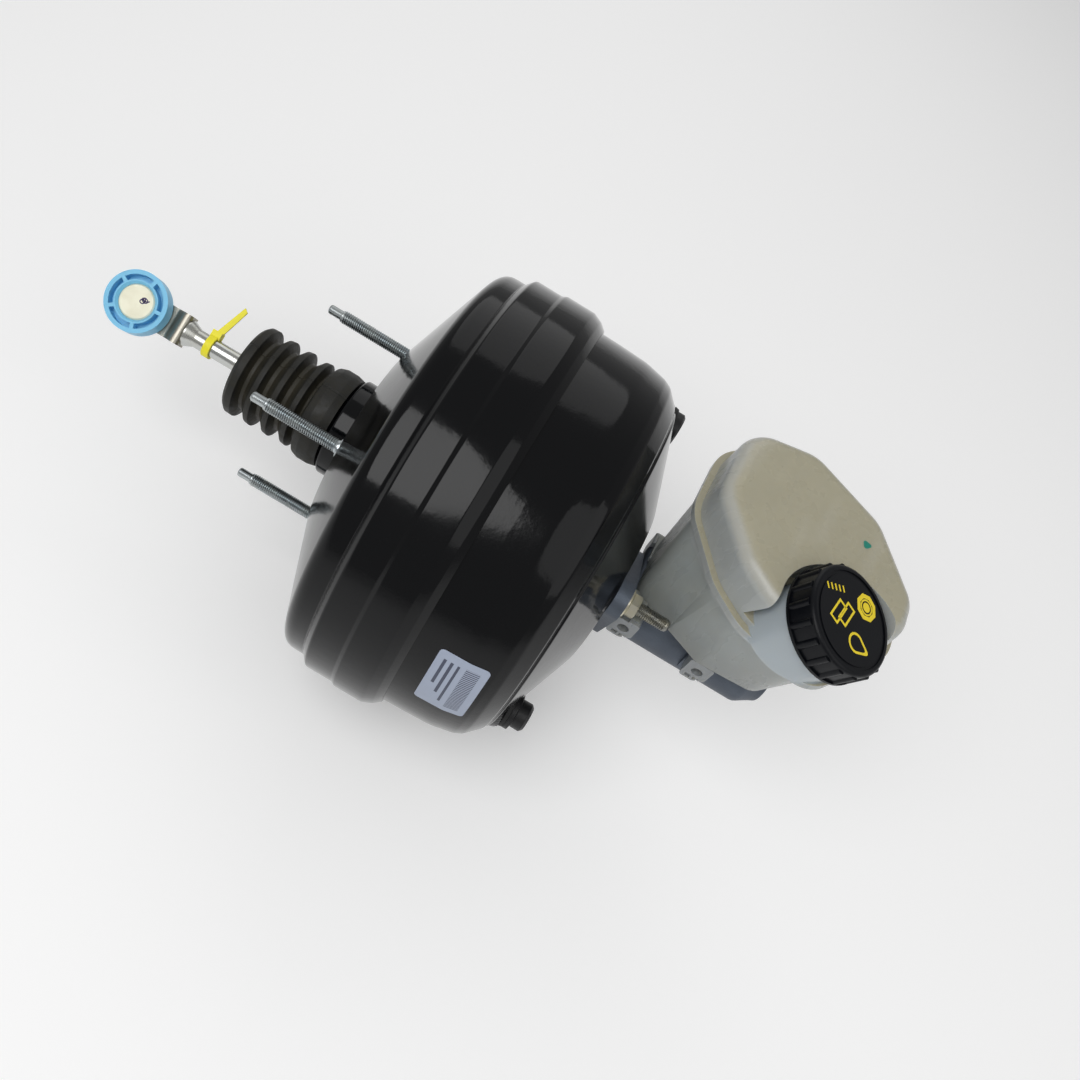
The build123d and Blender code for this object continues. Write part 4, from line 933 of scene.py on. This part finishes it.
class BOOSTER_OT_reservoir(bpy.types.Operator):
    """Finish the two tank mouldings, their grommets, pins and screen, and add the paint dot."""

    bl_idname = "booster.reservoir"
    bl_label = "Reservoir"

    def execute(self, context):
        tank = context.scene.booster_tank
        milky = milky_finish(tank.milk, tank.shade, tank.scatter)
        dress(["reservoir_lower", "reservoir_upper"], milky, 25)
        dress(["filler_screen"], moulded_finish("screen plastic", (0.62, 0.62, 0.58), 0.4))
        dress(["reservoir_grommets"], moulded_finish("grommet rubber", (0.02, 0.02, 0.02), 0.6))
        dress(["retaining_pins"], plated_finish("pin zinc", (0.42, 0.38, 0.28), 0.35, 0.5))
        centre = Vector(PAINT_DOT_PLACE)
        count = 20
        verts = [centre + Vector((0, 0, 0.25 * MM))]
        for k in range(count):
            angle = 2 * math.pi * k / count
            radius = (2.3 + 0.35 * math.sin(3 * angle + 0.6)) * MM
            verts.append(centre + Vector((radius * math.cos(angle), radius * math.sin(angle), 0.05 * MM)))
        paint = ink_finish("green paint dot", (0.01, 0.22, 0.16))
        new_piece("paint_dot", verts, fan(count), "housing", paint)
        return {"FINISHED"}


# Cap


def circle(center, radius, count):
    """Points of a circle in the cap's own plane, or of a polygon where they are few."""
    turns = [2 * math.pi * k / count for k in range(count)]
    return [Vector((center[0] + radius * math.cos(t), center[1] + radius * math.sin(t))) for t in turns]


def rectangle(center, width, height, angle):
    """Corners of a rectangle in the cap's own plane, turned by an angle."""
    turn = Matrix.Rotation(angle, 2)
    sides = ((-1, -1), (1, -1), (1, 1), (-1, 1))
    return [Vector(center) + turn @ Vector((x * width / 2, y * height / 2)) for x, y in sides]


def flat_band(outer, inner):
    """Flat band between two outlines with as many points."""
    count = len(outer)
    faces = [(k, (k + 1) % count, count + (k + 1) % count, count + k) for k in range(count)]
    return outer + inner, faces


def flat_ring(center, outer, inner, count=40):
    """Flat ring between two radii."""
    return flat_band(circle(center, outer, count), circle(center, inner, count))


def flat_disc(center, radius, count=24):
    """Flat disc."""
    return [Vector(center)] + circle(center, radius, count), fan(count)


def flat_frame(center, width, height, edge, angle):
    """Flat rectangular frame with a line as wide as the edge."""
    inner = rectangle(center, width - 2 * edge, height - 2 * edge, angle)
    return flat_band(rectangle(center, width, height, angle), inner)


def flat_drop(center, size, line, count=36):
    """Flat outline of a droplet with its tip along the first axis."""
    outlines = []
    for radius in (size, size - line):
        points = circle((0.0, 0.0), radius, count)
        for p in points:
            p.x *= 1 + 0.75 * max(0.0, p.x / radius) ** 6
        outlines.append([Vector(center) + p for p in points])
    return flat_band(*outlines)


class BOOSTER_OT_cap(bpy.types.Operator):
    """Finish the cap and its gasket, and print plain marks on its top."""

    bl_idname = "booster.cap"
    bl_label = "Cap"

    def execute(self, context):
        colors = context.scene.booster_cap
        dress(["filler_cap"], moulded_finish("cap plastic", colors.plastic, 0.36, 0.0012, 0.10, 0.20))
        dress(["cap_gasket"], moulded_finish("gasket rubber", (0.02, 0.02, 0.02), 0.6))
        base = Vector(NECK_FOOT)
        up = Vector(NECK_UP)
        ahead = Vector((up.z, 0, -up.x))
        side = Vector((0, 1, 0))
        face = (CAP_FACE + 0.06) * MM
        shapes = [
            flat_ring((6.4, 13.2), 7.4, 4.9, 8),
            flat_ring((6.4, 13.2), 4.3, 3.4),
            flat_disc((6.4, 13.2), 2.6),
            flat_drop((6.5, -9.5), 5.4, 1.3),
            flat_frame((-9.8, -2.6), 6.6, 13.0, 1.2, math.radians(-14)),
            flat_frame((-4.4, -0.2), 6.6, 13.0, 1.2, math.radians(-14)),
        ]
        for k in range(5):
            bar = rectangle((-21.0 + 2.5 * k, 5.0 + 1.4 * k), 3.4, 1.0, math.radians(-50))
            shapes.append((bar, [(0, 1, 2, 3)]))
        verts, faces = joined(*shapes)
        placed = [base + up * face + (ahead * p.x + side * p.y) * MM for p in verts]
        ink = ink_finish("yellow print", colors.ink)
        new_piece("cap_marks", placed, faces, "filler_cap", ink)
        return {"FINISHED"}


# Label


class BOOSTER_OT_label(bpy.types.Operator):
    """Lay a plain label with even bars on the front shell."""

    bl_idname = "booster.label"
    bl_label = "Label"

    def execute(self, context):
        x0, x1 = 101.0 * MM, 129.0 * MM
        center_x = (x0 + x1) / 2
        middle = math.radians(170.0)
        half = math.radians(10.8)
        corner = 2.5 * MM
        lift = 0.22 * MM
        across, along = 24, 48

        def shell_r(x):
            """Radius of the shell under the label."""
            for (xa, ra), (xb, rb) in zip(DRUM_STATIONS, DRUM_STATIONS[1:]):
                if x <= xb * MM:
                    return (ra + (rb - ra) * (x / MM - xa) / (xb - xa)) * MM
            return DRUM_STATIONS[-1][1] * MM

        verts = []
        uvs = []
        for i in range(across + 1):
            for k in range(along + 1):
                u, v = i / across, k / along
                x = x0 + (x1 - x0) * u
                arc = (2 * v - 1) * half * shell_r(x)
                dx = max(0.0, abs(x - center_x) - ((x1 - x0) / 2 - corner))
                da = max(0.0, abs(arc) - (half * shell_r(x) - corner))
                reach = math.hypot(dx, da)
                if reach > corner:
                    cut = 1 - corner / reach
                    x -= math.copysign(dx * cut, x - center_x)
                    arc -= math.copysign(da * cut, arc)
                radius = shell_r(x) + lift
                verts.append(around(x, radius, middle + arc / radius))
                uvs.append((u, v))
        faces = grid(across + 1, along + 1, columns_close=False)
        piece = new_piece("drum_label", verts, faces, "housing", label_finish())
        layer = piece.data.uv_layers.new(name="label")
        for loop in piece.data.loops:
            layer.data[loop.index].uv = uvs[loop.vertex_index]
        return {"FINISHED"}


# Master cylinder and hidden works


def stand_in(node, name, body, material):
    """Copy of a CAD node's mesh, shown in its place."""
    source = frame["nodes"][node]
    mesh = source.data.copy()
    mesh.transform(source.matrix_world)
    mesh.materials.clear()
    return attach(name, mesh, body, material, [node], 30.0)


class BOOSTER_OT_springs(bpy.types.Operator):
    """Build the springs and rolling diaphragms."""

    bl_idname = "booster.springs"
    bl_label = "Springs and diaphragms"

    def execute(self, context):
        steel = plated_finish("spring wire", (0.30, 0.31, 0.33), 0.32, 0.1)
        rubber = moulded_finish("diaphragm rubber", (0.018, 0.018, 0.018), 0.62)
        ride_on = {
            "return_spring": ("housing", "power_slide", 0.0),
            "secondary_spring": ("housing", "secondary_slide", 0.0),
            "primary_spring": ("secondary_piston", "primary_slide", travel("secondary_slide")),
            "pushrod_spring": ("power_piston", "plunger_slide", 0.0),
        }
        for node, (body, joint, less) in ride_on.items():
            piece = stand_in(node, node + "_wire", body, steel)
            shorten(piece, node, joint, less)

        bead = 3.0
        rear = stand_in("rear_diaphragm", "rear_diaphragm_skin", None, rubber)
        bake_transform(rear)

        web_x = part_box("front_diaphragm")[0].x / MM
        plate_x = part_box("front_plate")[0].x / MM
        bead_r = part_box("front_diaphragm")[1].z / MM
        bead_x = web_x + 8.8
        loop = to_metres([
            (web_x, HUB_BORE_R), (web_x, 110.0), (bead_x, 119.5), (bead_x, bead_r), (bead_x + bead, bead_r),
            (bead_x + bead, 118.4), (bead_x + 1.6, 118.0), (plate_x, 108.4), (plate_x, HUB_BORE_R)])
        verts, faces = lathe(finer(loop, 1.5 * MM), 240)
        front = new_piece(
            "front_diaphragm_skin", verts, faces, None, rubber, ["front_diaphragm"], 30)
        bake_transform(front)
        return {"FINISHED"}


class BOOSTER_OT_works(bpy.types.Operator):
    """Finish the master cylinder, the vacuum fittings and the works inside the shells."""

    bl_idname = "booster.works"
    bl_label = "Cylinder and works"

    def execute(self, context):
        dress(["master_cylinder_body"], cast_finish())
        black = moulded_finish("black fitting", (0.012, 0.012, 0.013), 0.40)
        dress(["check_valve", "port_plug"], black)
        rubber = moulded_finish("seal rubber", (0.018, 0.018, 0.018), 0.62)
        dress([
            "check_valve_grommet", "plug_grommet", "neck_seal", "centre_seal", "front_seal",
            "reaction_disc", "poppet_valve", "primary_cups", "secondary_cups"], rubber)
        dress(
            ["centre_plate", "stud_plate", "rear_plate", "front_plate", "poppet_retainer"],
            plated_finish("inner zinc", (0.58, 0.56, 0.48), 0.34, 0.6))
        steel = plated_finish("spring steel", (0.30, 0.31, 0.33), 0.32, 0.1)
        dress(["piston_stop_ring", "plate_retainer", "valve_key"], steel)
        alloy = machined_finish("machined alloy", (0.62, 0.63, 0.65))
        dress(["primary_piston", "secondary_piston", "control_plunger"], alloy)
        dress(["output_rod"], machined_finish("output rod steel", (0.60, 0.60, 0.58), 0.2))
        dress(["valve_body", "neck_bush"], moulded_finish("valve body plastic", (0.05, 0.05, 0.052), 0.5))
        dress(["air_filter"], foam_finish())
        return {"FINISHED"}


# Stage


class BOOSTER_OT_stage(bpy.types.Operator):
    """Set the floor, the lamps, the world and the camera."""

    bl_idname = "booster.stage"
    bl_label = "Stage"

    def execute(self, context):
        scene = context.scene
        settings = scene.booster_stage
        self.add_floor(settings, CAD_BOX[0][2] - 0.5 * MM)
        for name, place, target, size, share in LAMPS:
            self.add_lamp(name, place, target, size, settings.key * share)
        self.add_world(scene)
        self.add_camera(scene, settings)
        scene.view_settings.view_transform = "Standard"
        return {"FINISHED"}

    def add_floor(self, settings, z):
        mesh = bpy.data.meshes.new("floor")
        reach = 4.0
        corners = [(-reach, -reach, z), (reach, -reach, z), (reach, reach, z), (-reach, reach, z)]
        mesh.from_pydata(corners, [], [(0, 1, 2, 3)])
        floor = bpy.data.objects.new("floor", mesh)
        bpy.context.scene.collection.objects.link(floor)
        f = Finish("pale floor", settings.floor, 0.9, 0.0, Specular_IOR_Level=0.1)
        f.feed("Roughness", 0.85 + f.noise(0.05, 2.0) * 0.1)
        f.shader.inputs["Emission Strength"].default_value = 1.0
        seen = f.node("ShaderNodeLightPath", output="Is Camera Ray")
        seen = seen + f.node("ShaderNodeLightPath", output="Is Transmission Ray")
        seen = seen + f.node("ShaderNodeLightPath", output="Is Glossy Ray")
        f.feed("Emission Color", f.mix(seen, (0.0, 0.0, 0.0), (FLOOR_GLOW,) * 3))
        mesh.materials.append(f.material)

    def add_lamp(self, name, place, target, size, power):
        lamp = bpy.data.lights.new(name, "AREA")
        lamp.shape = "DISK"
        lamp.size = size
        lamp.energy = power
        holder = bpy.data.objects.new(name, lamp)
        bpy.context.scene.collection.objects.link(holder)
        holder.location = place
        holder.rotation_euler = (Vector(target) - Vector(place)).to_track_quat("-Z", "Y").to_euler()

    def add_world(self, scene):
        world = bpy.data.worlds.new("studio")
        scene.world = world
        world.use_nodes = True
        tree = world.node_tree
        light = tree.nodes["Background"]
        light.inputs["Color"].default_value = (1.0, 1.0, 1.0, 1.0)
        light.inputs["Strength"].default_value = ROOM_LIGHT

    def add_camera(self, scene, settings):
        lens = bpy.data.cameras.new("photo camera")
        lens.sensor_width = SENSOR
        lens.lens = SENSOR * settings.focal_px / PHOTO_SIZE
        lens.clip_end = 20.0
        camera = bpy.data.objects.new("photo camera", lens)
        scene.collection.objects.link(camera)
        right = Vector(CAMERA_RIGHT).normalized()
        back = Vector(CAMERA_BACK).normalized()
        up = back.cross(right).normalized()
        right = up.cross(back)
        turn = Matrix((right, up, back)).transposed()
        camera.matrix_world = Matrix.Translation(Vector(CAMERA_PLACE) * MM) @ turn.to_4x4()
        scene.camera = camera


class BOOSTER_PT_panel(bpy.types.Panel):
    """Lists the pieces and their settings."""

    bl_idname = "BOOSTER_PT_panel"
    bl_label = "Booster"
    bl_space_type = "VIEW_3D"
    bl_region_type = "UI"
    bl_category = "Booster"

    def draw(self, context):
        for operator in OPERATORS:
            self.layout.operator(operator.bl_idname)
        for name, group in SETTINGS.items():
            settings = getattr(context.scene, name)
            box = self.layout.box()
            for prop in group.__annotations__:
                box.prop(settings, prop)


OPERATORS = [
    BOOSTER_OT_stage, BOOSTER_OT_shells, BOOSTER_OT_studs, BOOSTER_OT_boot, BOOSTER_OT_push_rod,
    BOOSTER_OT_reservoir, BOOSTER_OT_cap, BOOSTER_OT_label, BOOSTER_OT_works, BOOSTER_OT_springs]


def register():
    for group in SETTINGS.values():
        bpy.utils.register_class(group)
    for operator in OPERATORS:
        bpy.utils.register_class(operator)
    bpy.utils.register_class(BOOSTER_PT_panel)
    for name, group in SETTINGS.items():
        setattr(bpy.types.Scene, name, bpy.props.PointerProperty(type=group))


def unregister():
    for name in SETTINGS:
        delattr(bpy.types.Scene, name)
    bpy.utils.unregister_class(BOOSTER_PT_panel)
    for operator in reversed(OPERATORS):
        bpy.utils.unregister_class(operator)
    for group in reversed(list(SETTINGS.values())):
        bpy.utils.unregister_class(group)


def main():
    register()
    bpy.ops.booster.stage()
    bpy.ops.booster.shells()
    bpy.ops.booster.studs()
    bpy.ops.booster.boot()
    bpy.ops.booster.push_rod()
    bpy.ops.booster.reservoir()
    bpy.ops.booster.cap()
    bpy.ops.booster.label()
    bpy.ops.booster.works()
    bpy.ops.booster.springs()


if __name__ == "__main__":
    main()
